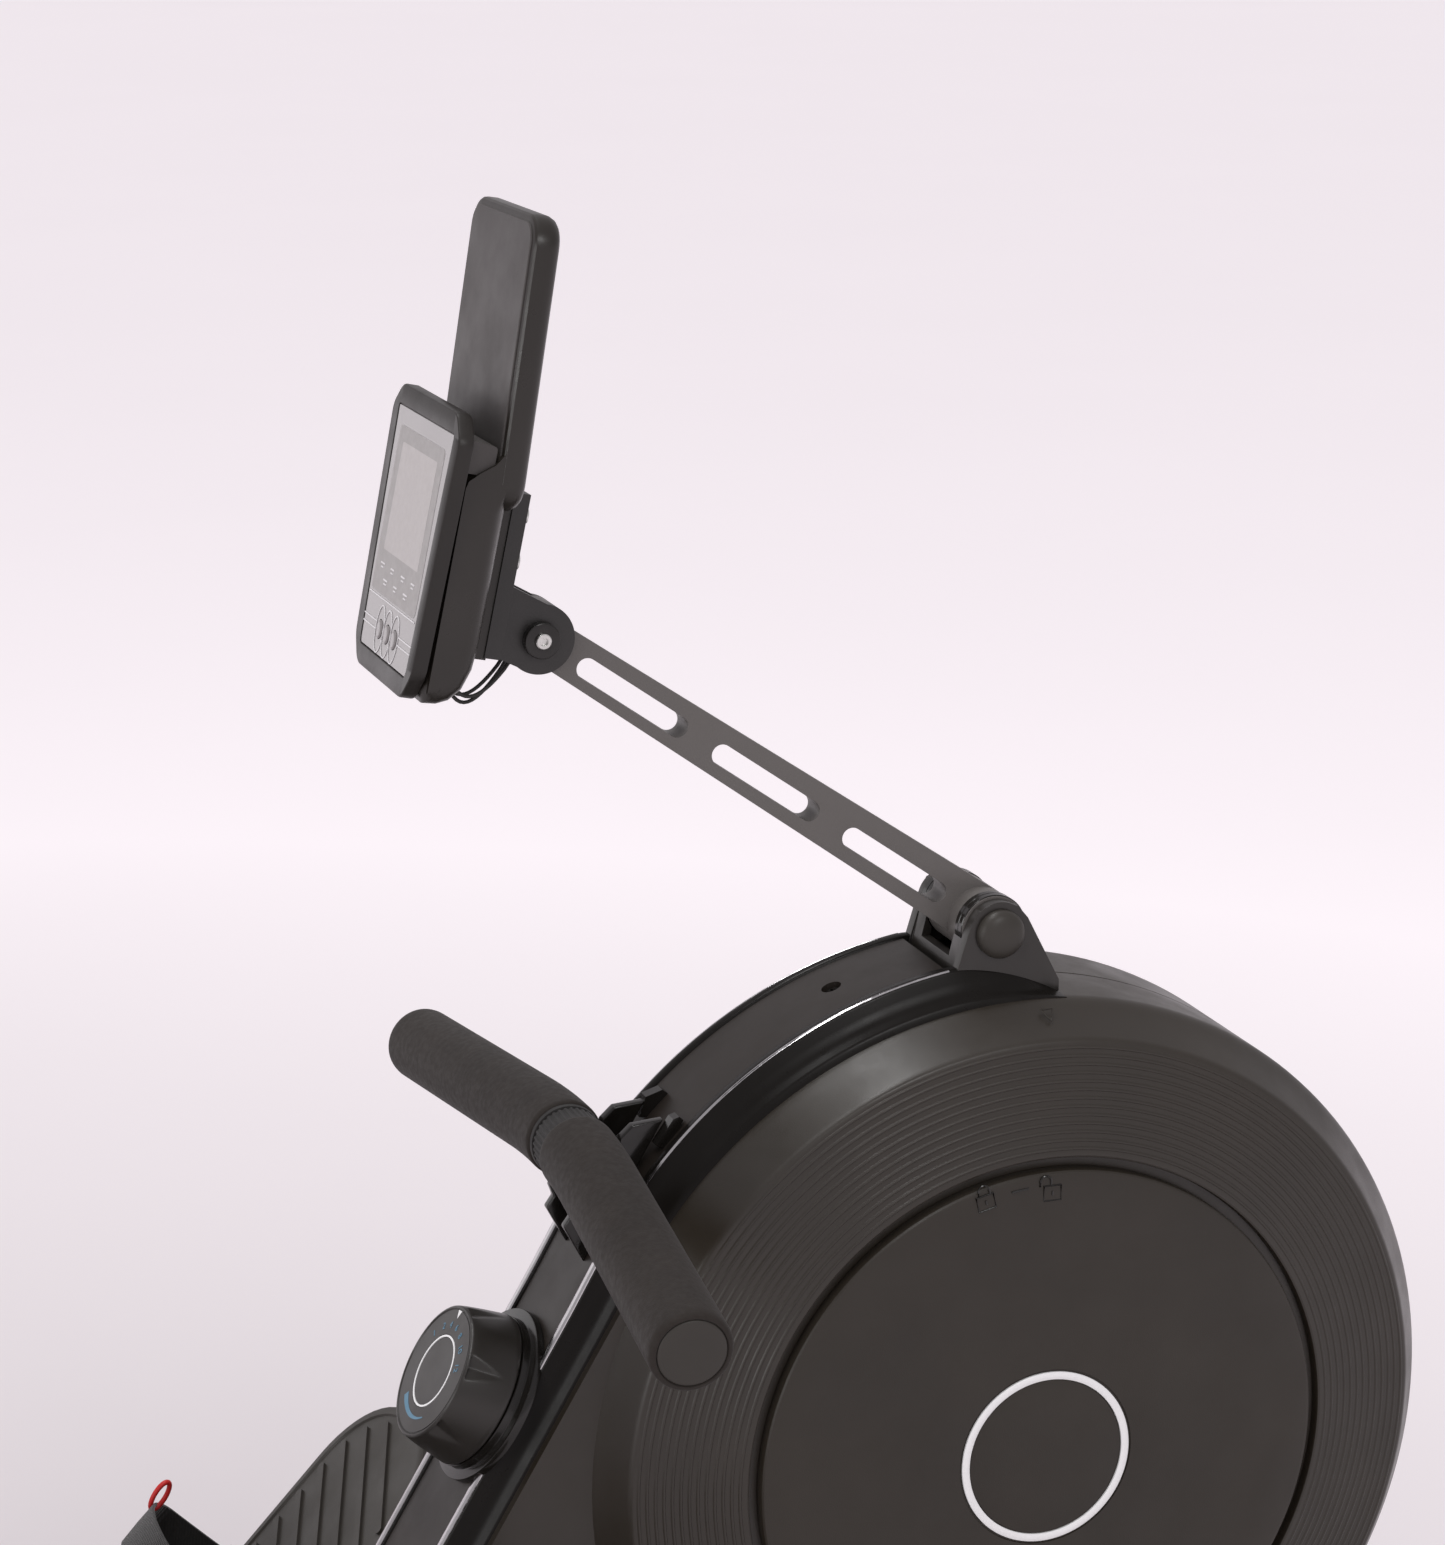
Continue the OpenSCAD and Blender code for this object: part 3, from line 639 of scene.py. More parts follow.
def drum_outline():
    """The housing's side from its rim to its recess: radius, height and share of the rim's own middle."""
    points = [(0, 0.15, 1), (209.9, 0.15, 1), (210.5, 0.75, 1), (210.5, 36.5, 1), (210.3, 38.6, 1),
              (209.7, 40.4, 1), (208.7, 42.2, 0.95), (207.2, 44.4, 0.9), (204.6, 48.0, 0.75),
              (201.4, 52.6, 0.5), (198.2, 57.4, 0.25), (196.0, 60.8, 0.08), (195.2, 61.9, 0),
              (194.4, 62.8, 0), (193.6, 63.3, 0)]
    outer, inner, low, high = 193.2, 144.6, 63.4, 72.8
    slope = (high - low) / (outer - inner)
    pitch = (outer - inner) / RIB_COUNT
    for i in range(RIB_COUNT):
        r = outer - (i + 0.5) * pitch
        for step, height in ((0.8, 0), (0.45, 0.34), (0.15, 0.46), (-0.15, 0.46), (-0.45, 0.34), (-0.8, 0)):
            points.append((r + step, low + (outer - r - step) * slope + height, 0))
    return points + [(144.2, 72.9, 0), (143.2, 73.0, 0), (142.4, 72.6, 0), (142.0, 71.8, 0), (141.6, 68, 0),
                     (0, 68, 0)]


# The rim turns about a point a little off the axle, here in the side's own frame
RIM_MIDDLE = Vector((1, -3, 0))


def drum(bm):
    outline = drum_outline()
    for row, (r, h, share) in zip(lathe(bm, [(r, h) for r, h, share in outline], 192), outline):
        for vertex in row:
            vertex.co += RIM_MIDDLE * share


# Outline across the rim and the shoulder beside it, as radius and height
RIM_OUTLINE = [(203, 25.3), (223.4, 25.3), (224, 25.9), (224, 29.9), (223.8, 30.7), (223.3, 31.3),
               (222.5, 31.7), (218.4, 33.0), (214.6, 34.8), (212.2, 36.8), (211.0, 38.4), (209.6, 39.6),
               (203, 40.2)]
RIM_END_ANGLE = 83.6


def rim_rings():
    """The rim's outline along the panel, from its lower end, and on round the drum."""
    angle = math.radians(90 + PANEL_ANGLE)
    rings = []
    drop = STRIP_R - PANEL_R
    for i in range(25):
        along = PANEL_LENGTH * (1 - i / 24)
        normal = Vector((math.cos(angle), math.sin(angle), 0))
        down = Vector((-math.sin(angle), math.cos(angle), 0)) * along
        sink = drop * min(1, along / 40)
        rings.append([(r - sink) * normal + down + Vector((0, 0, h)) for r, h in RIM_OUTLINE])
    fade, end = math.radians(STRIP_END_ANGLE), math.radians(RIM_END_ANGLE)
    for i in range(1, 81):
        t = angle + (end - angle) * i / 80
        # Past the console mount the rim sinks into the drum
        keep = 1 - max(0.0, (fade - t) / (fade - end)) ** 1.4
        section = [(207.5 + (r - 207.5) * keep if r > 207.5 else r, h) for r, h in RIM_OUTLINE]
        rings.append([Vector((r * math.cos(t), r * math.sin(t), h)) for r, h in section])
    return rings


def neck_outline(inset):
    angle = math.radians(90 + PANEL_ANGLE)
    normal = Vector((math.cos(angle), math.sin(angle)))
    down = Vector((-math.sin(angle), math.cos(angle)))
    top = PANEL_R * normal
    end = top + PANEL_LENGTH * down
    return [tuple(0.6 * top), tuple(top - (13.5 + inset) * normal),
            tuple(end - (13.5 + inset) * normal + inset * Vector((1, 1))),
            (end.x + 4 + inset, -214 + inset), (0, -214 + inset)]


def housing_shell():
    """One half of the housing as a hollow shell, in the right side's frame."""
    def neck(bm):
        prism(bm, neck_outline(0), 0.15, 44)
        bevel(bm, 2.6, 4)

    outer = boolean(raw(drum), [raw(neck)], "UNION")
    inner_drum = [(0, -2), (207, -2), (207, 37), (200, 47), (186, 54), (0, 54)]
    inner_side = [(0, 40), (188, 40), (188, 59), (138, 64.5), (0, 64.5)]
    holes = [raw(lambda bm: lathe(bm, inner_drum, 96), moved(*RIM_MIDDLE)),
             raw(lambda bm: lathe(bm, inner_side, 96)),
             raw(lambda bm: prism(bm, neck_outline(3.5), -2, 40.5)),
             raw(lambda bm: prism(bm, [(-90, -250), (40, -250), (40, -190), (-90, -190)], -2, 45))]
    return boolean(outer, holes, "DIFFERENCE")


def make_housing():
    shell = housing_shell()
    for side in SIDES:
        bm = bmesh.new()
        bm.from_mesh(shell)
        bmesh.ops.remove_doubles(bm, verts=bm.verts, dist=0.004)
        piece(side + "_housing", bm, on_side(side), "frame", "shell", (side + "_shell",),
              24)
        bm = bmesh.new()
        loft(bm, rim_rings(), closed=False)
        piece(side + "_rim", bm, on_side(side), "frame", "rim", smooth=50)
        # Painted highlight: a bright metal band on the rim's top down the panel and a thin bead on its edge
        # round the arc, where the glossy rim catches the light
        bm = bmesh.new()
        section = [(-0.7, 25.9), (0.35, 26.0), (0.55, 26.4), (0.6, 28.6), (0.5, 30.2), (0.2, 30.7),
                   (-0.7, 30.8)]
        loft(bm, [[strip_point(-PANEL_LENGTH * (1 - i / 24) * 0.99 - 2, r + 1) + Vector((0, -h, 0))
                   for r, h in section]
                  for i in range(25)], closed=False)
        edge = [(0.7, 29.9), (1.12, 30.1), (1.0, 30.8), (0.55, 31.3), (0.2, 31.2)]
        loft(bm, [[strip_point(STRIP_ARC * i / 60, r) + Vector((0, -h, 0)) for r, h in edge]
                  for i in range(61)], closed=False)
        bm.transform(SIDEWAYS.inverted())
        piece(side + "_rim_painted_highlight", bm, on_side(side), "frame", "painted_highlight", smooth=50)
    bpy.data.meshes.remove(shell)


STRIP_ARC = STRIP_R * math.radians(90 + PANEL_ANGLE - STRIP_END_ANGLE)
SCREW_LEAN = about_y(-20)


def strip_point(along, height):
    """A point on the strip: along is arc length up from the top of the panel, and negative down the panel."""
    angle = math.radians(90 + PANEL_ANGLE)
    normal = Vector((math.cos(angle), 0, math.sin(angle)))
    down = Vector((-math.sin(angle), 0, math.cos(angle)))
    if along <= 0:
        lift = height + (STRIP_R - PANEL_R) * max(0, 1 + along / 40)
        return (PANEL_R + lift) * normal - down * along
    t = angle - along / STRIP_R
    return Vector((math.cos(t), 0, math.sin(t))) * (STRIP_R + height)


def strip_skin(bm):
    stations = [-PANEL_LENGTH * (1 - i / 30) for i in range(31)] + [STRIP_ARC * i / 60
                                                                    for i in range(1, 61)]
    section = [(-25, -3), (-25, -0.5), (-24.5, 0), (-12, 0.12), (12, 0.12), (24.5, 0), (25, -0.5), (25, -3)]
    loft(bm, [[strip_point(s, h) + Vector((0, y, 0)) for y, h in section] for s in stations], closed=False)


def make_strip():
    strap_slot = raw(lambda b: prism(b, rectangle(3.6, 25, 1.7), 205, 250), about_y(-STRAP_LEAN))
    recess = raw(lambda b: lathe(b, [(0, 215), (4.75, 215), (4.75, 226), (0, 226)], 40), SCREW_LEAN)
    strip = boolean(raw(strip_skin), [strap_slot, recess], "DIFFERENCE")
    piece("strip_cover", opened(strip), WHEEL, "frame", "strip", ("centre_strip",), 28)
    profile = [(0, 216), (4.2, 216), (4.2, 220.2), (3.5, 221.0), (0, 221.2)]
    head = raw(lambda b: lathe(b, profile, 32), SCREW_LEAN)
    cross = [raw(lambda b, size=size: prism(b, rectangle(*size, 0.3), 219.6, 226), SCREW_LEAN)
             for size in ((4.4, 1.1), (1.1, 4.4))]
    screw = opened(boolean(head, cross, "DIFFERENCE"))
    piece("strip_screw", screw, WHEEL, "frame", "gloss", ("cover_screws",), 30)


COVER_OUTLINE = [(0, 68.3), (136.6, 68.3), (137, 68.8), (137, 73.0), (136.7, 74.2), (136, 75.0),
                 (134.6, 75.5), (120, 76.2), (90, 77.35), (60, 78.1), (43.2, 78.5), (42.7, 78.4),
                 (42.4, 77.7), (41.7, 77.6), (37.8, 77.6), (37.5, 78.0), (37.0, 78.2), (20, 78.4),
                 (0, 78.45)]
RING_OUTLINE = [(37.9, 77.4), (41.5, 77.4), (41.5, 78.6), (41.2, 78.85), (38.2, 78.85), (37.9, 78.6)]


def padlock(bm, at, turn, is_open):
    """A small raised padlock sign."""
    part = bmesh.new()
    case = [(-4.2, -5), (4.2, -5), (4.2, 2), (-4.2, 2), (-4.2, -5)]
    shift = -3.4 if is_open else 0
    bow = [(shift - 2.7 * math.cos(math.pi * k / 8), 4.2 + 2.7 * math.sin(math.pi * k / 8))
           for k in range(1, 8)]
    arch = [(shift - 2.7, 2), (shift - 2.7, 4.2), *bow, (shift + 2.7, 4.2),
            (shift + 2.7, 2.6 if is_open else 2)]
    for line in (case, arch, [(0, -2.6), (0, -0.6)]):
        tube(part, [(x, y, 77.0) for x, y in line], 0.42, 6)
    part.transform(moved(at[0], at[1], 0) @ Matrix.Rotation(math.radians(turn), 4, "Z"))
    merge(bm, part)


def make_covers():
    for side in SIDES:
        body = "cover_" + side
        bm = bmesh.new()
        lathe(bm, COVER_OUTLINE, 192)
        piece(side + "_cover_disc", bm, on_side(side), body, "cover",
              (side + "_access_cover",), 22)
        bm = bmesh.new()
        closed_lathe(bm, RING_OUTLINE, 128)
        piece(side + "_white_ring", bm, on_side(side), body, "white", smooth=40)
        bm = bmesh.new()
        signs = (((-31.3, 128.3), 13.7, False), ((1.4, 128.8), -0.6, True))
        for at, turn, is_open in signs:
            padlock(bm, at, turn, is_open)
        tube(bm, [(-18.5, 130.0, 76.9), (-10.3, 130.8, 76.9)], 0.5, 6)
        bm.transform(moved(0, 0, -1.05))
        piece(side + "_cover_signs", bm, on_side(side), body, "gloss", smooth=50)
        bm = bmesh.new()
        tube(bm, [(6, 204.6, 48.4), (12, 204.6, 48.4), (9, 200.6, 54.0), (6, 204.6, 48.4)], 0.4, 6)
        piece(side + "_aim_mark", bm, on_side(side), "frame", "shell", smooth=40)


# ---------- console mount, arm and handle holder ----------


def pivot_cap(bm):
    profile = [(0, 0), (11.3, 0), (11.3, 2.2), (10.9, 3.2), (10.1, 4.2), (8.5, 5.2), (6.0, 6.0), (3.1, 6.4),
               (0, 6.5)]
    lathe(bm, profile, 64)


def make_mount():
    refine("console_mount", "knob", 1.1, 3, 25)
    for side in SIDES:
        frame_here = on_side(side, moved(LOW_PIVOT[0], 0, LOW_PIVOT[1])) @ moved(0, 0, 31.25)
        bm = bmesh.new()
        pivot_cap(bm)
        nodes = ("mount_pivot_bolt",) if side == "right" else ()
        piece(side + "_pivot_cap", bm, frame_here, "frame", "cap", nodes, 40)
    bm = bmesh.new()
    tube(bm, [(LOW_PIVOT[0], y, LOW_PIVOT[1]) for y in (-31.2, 31.2)], 6, 24)
    piece("mount_bolt", bm, WHEEL, "frame", "zinc")
    refine("console_arm", "arm", 0.9, 3, 28)
    for y in (-24.2, -20.6, 16.6, 20.2):
        bm = bmesh.new()
        closed_lathe(bm, [(15.6, 0), (16.0, 0.4), (16.0, 3.2), (15.6, 3.6), (13, 3.6), (13, 0)], 64)
        side_frame = WHEEL @ moved(LOW_PIVOT[0], y + 3.8, LOW_PIVOT[1]) @ SIDEWAYS
        name = "barrel_ring_{}{}".format("r" if y < 0 else "l", abs(int(y)))
        piece(name, bm, side_frame, "arm", "gloss", smooth=40)
    refine("arm_pivot_bolt", "gloss", 0.7, 3)
    bm = bmesh.new()
    for low, high in ((-12.0, -7.5), (7.5, 12.0)):
        closed_lathe(bm, [(5.1, low), (10.6, low), (11.4, low + 0.8), (11.4, high - 0.2), (5.1, high)], 48)
    arm_top = WHEEL @ moved(HIGH_PIVOT[0], 0, HIGH_PIVOT[1]) @ SIDEWAYS
    piece("arm_bushes", bm, arm_top, "arm", "gloss", smooth=40)


# The upper hook plates run on over the strip, as X and Z
HOOK_TAILS = {"near": (-22, -15.5, [(-160, 163.6), (-157, 164.4), (-155.2, 162.6), (-163, 149.4),
                                    (-168, 152)]),
              "far": (10.5, 17, [(-162, 163.5), (-154, 166), (-150.4, 163.2), (-158.5, 153.5),
                                 (-165, 154)])}


def make_holder():
    for name, (low, high, outline) in HOOK_TAILS.items():
        bm = bmesh.new()
        prism(bm, outline, -high, -low)
        bevel(bm, 0.9, 3)
        piece("hook_tail_" + name, bm, WHEEL @ SIDEWAYS, "frame", "gloss", smooth=40)
    refine("handle_holder", "gloss", 1.0, 3, 25)
    bm = bmesh.new()
    prism(bm, rounded([(-9, -10.4), (9, -10.4), (9, 10.4), (-9, 10.4)], 1.5, 3), 221.5, 226.5)
    bevel(bm, 0.6, 2)
    holder_frame = WHEEL @ about_y(-STRAP_LEAN)
    mouth = raw(lambda b: prism(b, rectangle(4, 18.5, 1.6), 215, 240))
    guide = opened(boolean(bm_to_mesh(bm), [mouth], "DIFFERENCE"))
    piece("strap_guide", guide, holder_frame, "frame", "gloss", smooth=35)


# ---------- tension knob ----------

GROOVES = 6
GROOVE_TURN = math.radians(-62)


def knob_radius(z, turn):
    """The knob's radius at a height. It widens to its base, and pointed grooves start at its face."""
    base = 31.6 + 4.4 * (max(0, 31 - z) / 21) ** 0.85
    share = max(0.0, min(1.0, (z - 15.5) / 15))
    off = (turn - GROOVE_TURN + math.pi / GROOVES) % (2 * math.pi / GROOVES) - math.pi / GROOVES
    width = math.radians(1.0 + 9.5 * share)
    dip = max(0.0, 1 - abs(off) / width)
    return base - 2.3 * share * dip ** 0.8


KNOB_STEPS = 300
# The knob's upper edge and face, as radius and height
KNOB_FACE = [(31.5, 31.4), (31.2, 32.1), (30.7, 32.5), (30.0, 32.6), (29.7, 32.3), (29.4, 32.0),
             (28, 32.05), (17.4, 32.15), (17.1, 31.95), (16.2, 31.95), (15.9, 32.15), (8, 32.2), (1, 32.2)]


def make_knob():
    turns = [2 * math.pi * k / KNOB_STEPS for k in range(KNOB_STEPS)]

    def ring(radius, z):
        return [(radius(t) * math.cos(t), radius(t) * math.sin(t), z) for t in turns]

    lower_edge = [(8.3, 2.0), (8.4, 1.1), (9.0, 0.4)]
    heights = [10.0, 12, 14.5, 17, 19.5, 22, 24.5, 26.5, 28.3, 29.8, 30.8]
    rings = [ring(lambda t: knob_radius(z, t) - inset, z) for z, inset in lower_edge]
    rings += [ring(lambda t: knob_radius(z, t), z) for z in heights]
    rings += [ring(lambda t: r, z) for r, z in KNOB_FACE]
    bm = bmesh.new()
    loft(bm, rings, closed=False)
    matrix = panel(KNOB_DOWN)
    piece("knob_body", bm, matrix, "knob", "knob", ("tension_knob",), 30)
    bm = bmesh.new()
    closed_lathe(bm, [(29.0, 31.8), (29.0, 32.28), (17.5, 32.38), (17.5, 31.8)], 96)
    piece("knob_face_plate", bm, matrix, "knob", "knob", smooth=30)
    bm = bmesh.new()
    closed_lathe(bm, [(16.2, 31.9), (17.1, 31.9), (17.1, 32.42), (16.2, 32.42)], 96)
    piece("knob_ring", bm, matrix, "knob", "white", smooth=30)
    bm = bmesh.new()
    prism(bm, [(25.4, 0), (29.2, -1.8), (29.2, 1.8)], 31.9, 32.46)
    bm.transform(Matrix.Rotation(math.radians(11), 4, "Z"))
    piece("knob_pointer", bm, matrix, "knob", "white", smooth=30)
    make_dial_marks(matrix)
    refine("knob_base", "gloss", 0.8, 2)


DIAL_NUMBERS = ((1, 59), (2, 37), (4, 19), (6, 1), (8, -18), (10, -39), (12, -63))


def make_dial_marks(matrix):
    """Numbers round the upper edge of the dial, and a wedge that widens with the tension below."""
    bm = bmesh.new()
    for number, angle in DIAL_NUMBERS:
        data = bpy.data.curves.new("number", "FONT")
        data.body = str(number)
        data.size = 4.6
        data.align_x, data.align_y = "CENTER", "CENTER"
        data.extrude = 0.12
        data.resolution_u = 3
        text = bpy.data.objects.new("number", data)
        bpy.context.scene.collection.objects.link(text)
        bpy.context.view_layer.update()
        mesh = bpy.data.meshes.new_from_object(text.evaluated_get(bpy.context.evaluated_depsgraph_get()))
        place = Matrix.Rotation(math.radians(angle), 4, "Z") @ moved(21.8, 0, 32.36)
        mesh.transform(place @ Matrix.Rotation(math.radians(-90), 4, "Z"))
        bm.from_mesh(mesh)
        bpy.data.meshes.remove(mesh)
        bpy.data.objects.remove(text)
        bpy.data.curves.remove(data)
    steps = 26
    low, high = math.radians(142), math.radians(216)
    outer, inner = [], []
    for i in range(steps + 1):
        t = low + (high - low) * i / steps
        half = 0.3 + 1.5 * (1 - i / steps)
        outer.append(((22.5 + half) * math.cos(t), (22.5 + half) * math.sin(t)))
        inner.append(((22.5 - half) * math.cos(t), (22.5 - half) * math.sin(t)))
    prism(bm, outer + inner[::-1], 31.9, 32.44)
    piece("dial_marks", bm, matrix, "knob", "blue", smooth=30)


# ---------- console ----------


def bezel_outline(inset, radius):
    top, low = 94, -29
    corners = [(-52 + inset, top - 10), (-42, top - inset), (42, top - inset), (52 - inset, top - 10),
               (46 - inset, low + 12), (36, low + inset), (-36, low + inset), (-46 + inset, low + 12)]
    return rounded(corners, radius, 5)


BUTTON_Z = -9
BUTTONS = {"right": -11.5, "middle": 0, "left": 11.5}


def raised_line(bm, points, half, low, high):
    """A thin printed or raised line between outline points."""
    for a, b in zip(points, points[1:]):
        a, b = Vector(a), Vector(b)
        across = Vector((a.y - b.y, b.x - a.x)).normalized() * half
        along = (b - a).normalized() * half * 0.9
        prism(bm, [tuple(a - along - across), tuple(b + along - across), tuple(b + along + across),
                   tuple(a - along + across)], low, high)


def ring_line(bm, outline, half, low, high):
    """A closed outline drawn as a line of even width."""
    middle = Vector((sum(p[0] for p in outline), sum(p[1] for p in outline))) / len(outline)
    inner, outer = [], []
    for p in outline:
        away = (Vector(p) - middle).normalized() * half
        outer.append(Vector(p) + away)
        inner.append(Vector(p) - away)
    count = len(outline)
    loft(bm, [[(*outer[i], low), (*outer[i], high), (*inner[i], high), (*inner[i], low)]
              for i in range(count)])


def oval(y):
    return [(y + 6.0 * math.cos(t), BUTTON_Z + 10.2 * math.sin(t)) for t in
            (2 * math.pi * k / 40 for k in range(40))]


BEZEL_CORNERS = [8, 9, 9, 8, 10, 9, 9, 10]


def button_holes():
    profile = [(0, FACE_X - 2), (4.35, FACE_X - 2), (4.35, FACE_X + 5), (0, FACE_X + 5)]
    return [raw(lambda b: lathe(b, profile, 40), moved(y, BUTTON_Z, 0)) for y in BUTTONS.values()]


def make_console_front():
    bm = bmesh.new()
    steps = [(1.6, 7.0), (0.4, 6.6), (0.0, 5.8), (0.0, 0.9), (0.25, 0.3), (0.8, 0.0), (8.6, 0.1),
             (8.9, 0.3), (9.0, 1.6)]
    stack(bm, steps, lambda inset: bezel_outline(inset, BEZEL_CORNERS), FACE_X)
    bezel = opened(boolean(bm_to_mesh(bm), button_holes(), "DIFFERENCE"))
    piece("bezel_body", bezel, FACE, "console", "bezel", ("console_bezel",), 30)
    bm = bmesh.new()
    stack(bm, ((0, 1.62), (0, 0.75), (0.35, 0.4)), lambda inset: bezel_outline(9.15 + inset, 8), FACE_X)
    window = opened(boolean(bm_to_mesh(bm), button_holes(), "DIFFERENCE"))
    piece("window", window, FACE, "console", "lens", ("console_lens",), 30)
    top = FACE_X + 0.42
    bm = bmesh.new()
    prism(bm, rectangle(70, 72, 3, (0, 41)), top - 0.12, top - 0.05)
    piece("screen_frame", bm, FACE, "console", "screen_frame", smooth=30)
    bm = bmesh.new()
    prism(bm, rectangle(54, 47, 1, (0, 47)), top - 0.12, top - 0.10)
    prism(bm, rectangle(54, 47, 1, (0, 47)), top - 0.13, top - 0.16)
    piece("screen_glass", bm, FACE, "console", "lcd", ("console_lcd",), smooth=30)
    make_console_print(top - 0.08)


def make_console_print(level):
    """Lines, ovals and small signs printed on the window."""
    low, high = level, level - 0.16
    bm = bmesh.new()
    raised_line(bm, [(-36, 3.6), (36, 3.6)], 0.28, low, high)
    for z in (-6.6, -9.9):
        for a, b in ((-40, -18.2), (18.2, 40)):
            raised_line(bm, [(a, z), (b, z)], 0.3, low, high)
    for y in BUTTONS.values():
        ring_line(bm, oval(y), 0.3, low, high - 0.04)
    piece("window_lines", bm, FACE, "console", "pale", smooth=30)
    bm = bmesh.new()
    for row, (z, spots) in enumerate(((17.6, (-24, -8.5, 8.5, 24)), (11.4, (-16, 0, 16)))):
        for k, y in enumerate(spots):
            half = 3.4 + 0.6 * ((row + k) % 2)
            prism(bm, rectangle(1.5 * half, 0.7, 0.2, (y, z)), low + 0.02, high - 0.06)
            prism(bm, rectangle(half, 0.6, 0.2, (y, z - 1.7)), low + 0.02, high - 0.06)
    piece("window_signs", bm, FACE, "console", "pale", smooth=30)
    for name, y in BUTTONS.items():
        bm = bmesh.new()
        profile = [(0, FACE_X + 3), (4, FACE_X + 3), (4, FACE_X + 0.2), (3.6, FACE_X - 0.2),
                   (3.0, FACE_X - 0.38), (0, FACE_X - 0.2)]
        lathe(bm, profile, 40)
        piece("key_cap_" + name, bm, FACE @ moved(y, BUTTON_Z, 0), "key_" + name, "lens",
              ("button_" + name,), 30)


# The console body's side view, as X and Z: up its front, and down its back from inside the slab
CONSOLE_PROFILE = [(-58, -24), (-58, 64), (-57, 68), (-52, 72.5), (-46.5, 76.5), (-43.5, 81), (-42.5, 90),
                   (-41, 100), (-36, 100), (-35.5, 92), (-36.5, 84), (-37, 75), (-36.5, 66), (-36, 55),
                   (-36, 0), (-37, -12), (-40, -21), (-45, -26.5), (-50, -28.6), (-56, -29)]
CONSOLE_HALF = 46.1
CONSOLE_EDGE = 8


def shrunk(outline, amount):
    """An outline moved inwards by an amount, for an outline drawn clockwise."""
    result = []
    count = len(outline)
    for i in range(count):
        before, at, after = (Vector(outline[k % count]) for k in (i - 1, i, i + 1))
        first, second = (at - before).normalized(), (after - at).normalized()
        normal = Vector((first.y + second.y, -first.x - second.x)).normalized()
        facing = max(0.5, normal.dot(Vector((first.y, -first.x))))
        result.append(at + normal * amount / facing)
    return result


def make_console_body():
    """The body behind the bezel: its side view carried across, drawn in towards its two sides."""
    edge = [(CONSOLE_HALF - CONSOLE_EDGE * (1 - math.sin(a)), CONSOLE_EDGE * (1 - math.cos(a)))
            for a in (math.pi / 2 * k / 8 for k in range(9))]
    rings = []
    for y, inset in [(-y, inset) for y, inset in reversed(edge)] + edge:
        deep, shallow = shrunk(CONSOLE_PROFILE, inset), shrunk(CONSOLE_PROFILE, min(inset, 1.8))
        low = 29 - inset * 0.9
        ring = [shallow[i] if z > 60 or x < -57 else deep[i] for i, (x, z) in enumerate(CONSOLE_PROFILE)]
        rings.append([(x, y, max(z, -low)) for x, z in ring])
    bm = bmesh.new()
    loft(bm, rings, closed=False)
    piece("console_housing", bm, CONSOLE, "console", "console", ("console_back",), 34)


SLAB_LAYERS = ((3.0, -38.8), (1.2, -38.4), (0.3, -37.5), (0, -36), (0, -32), (0.4, -30.2), (1.5, -28.2),
               (3.2, -26.9), (5.4, -26.3))


def make_phone_rest():
    """The leaning slab that a phone stands against, its smooth pad, and the ledge at its foot."""
    lean = CONSOLE @ about_y(-2.74) @ CONSOLE.inverted() @ FACE
    bm = bmesh.new()
    stack(bm, SLAB_LAYERS, lambda inset: rectangle(93 - 2 * inset, 124 - 2 * inset, 13 - inset, (0, 119),
                                                   8))
    piece("phone_slab", bm, lean, "console", "console", smooth=32)
    bm = bmesh.new()
    stack(bm, ((0, -38.2), (0, -39.2), (0.4, -39.5)),
          lambda inset: rectangle(86 - 2 * inset, 117 - 2 * inset, 9 - inset, (0, 119), 8))
    piece("phone_pad", bm, lean, "console", "slab", smooth=32)
    bm = bmesh.new()
    prism(bm, rounded([(-57.6, 70), (-45, 70), (-45, 82.5), (-57.6, 84)], [1, 1, 1.5, 1.5], 4), -44, 44)
    bevel(bm, 1.0, 2, 40)
    piece("phone_ledge", bm, CONSOLE @ SIDEWAYS, "console", "slab", smooth=35)


def make_console_back():
    make_console_body()
    make_phone_rest()
    refine("console_bracket", "steel", 0.9, 3)
    bm = bmesh.new()
    prism(bm, [(-37.5, -11), (-25, -11), (-25, 61), (-37.5, 61)], -19, 19)
    bevel(bm, 1.5, 3, 40)
    piece("bracket_block", bm, CONSOLE @ SIDEWAYS, "console", "console", smooth=35)
    refine("console_screws", "zinc", 0.35, 2)
    # A socket bolt in each end of the console's pivot
    low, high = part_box("arm_pivot_bolt")
    half = (high.y - low.y) / 2 / MM
    profile = [(0, half - 1), (3.5, half - 1), (3.5, half + 1.2), (3.1, half + 1.6), (1.9, half + 1.6),
               (1.9, half + 0.2), (0, half + 0.2)]
    body = frame["nodes"]["arm_pivot_bolt"]["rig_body"]
    for name, flip in zip(SIDES, (Matrix.Identity(4), MIRROR)):
        bm = bmesh.new()
        lathe(bm, profile, 32)
        piece(name + "_pivot_screw", bm, CONSOLE @ flip @ SIDEWAYS, body, "zinc", smooth=40)


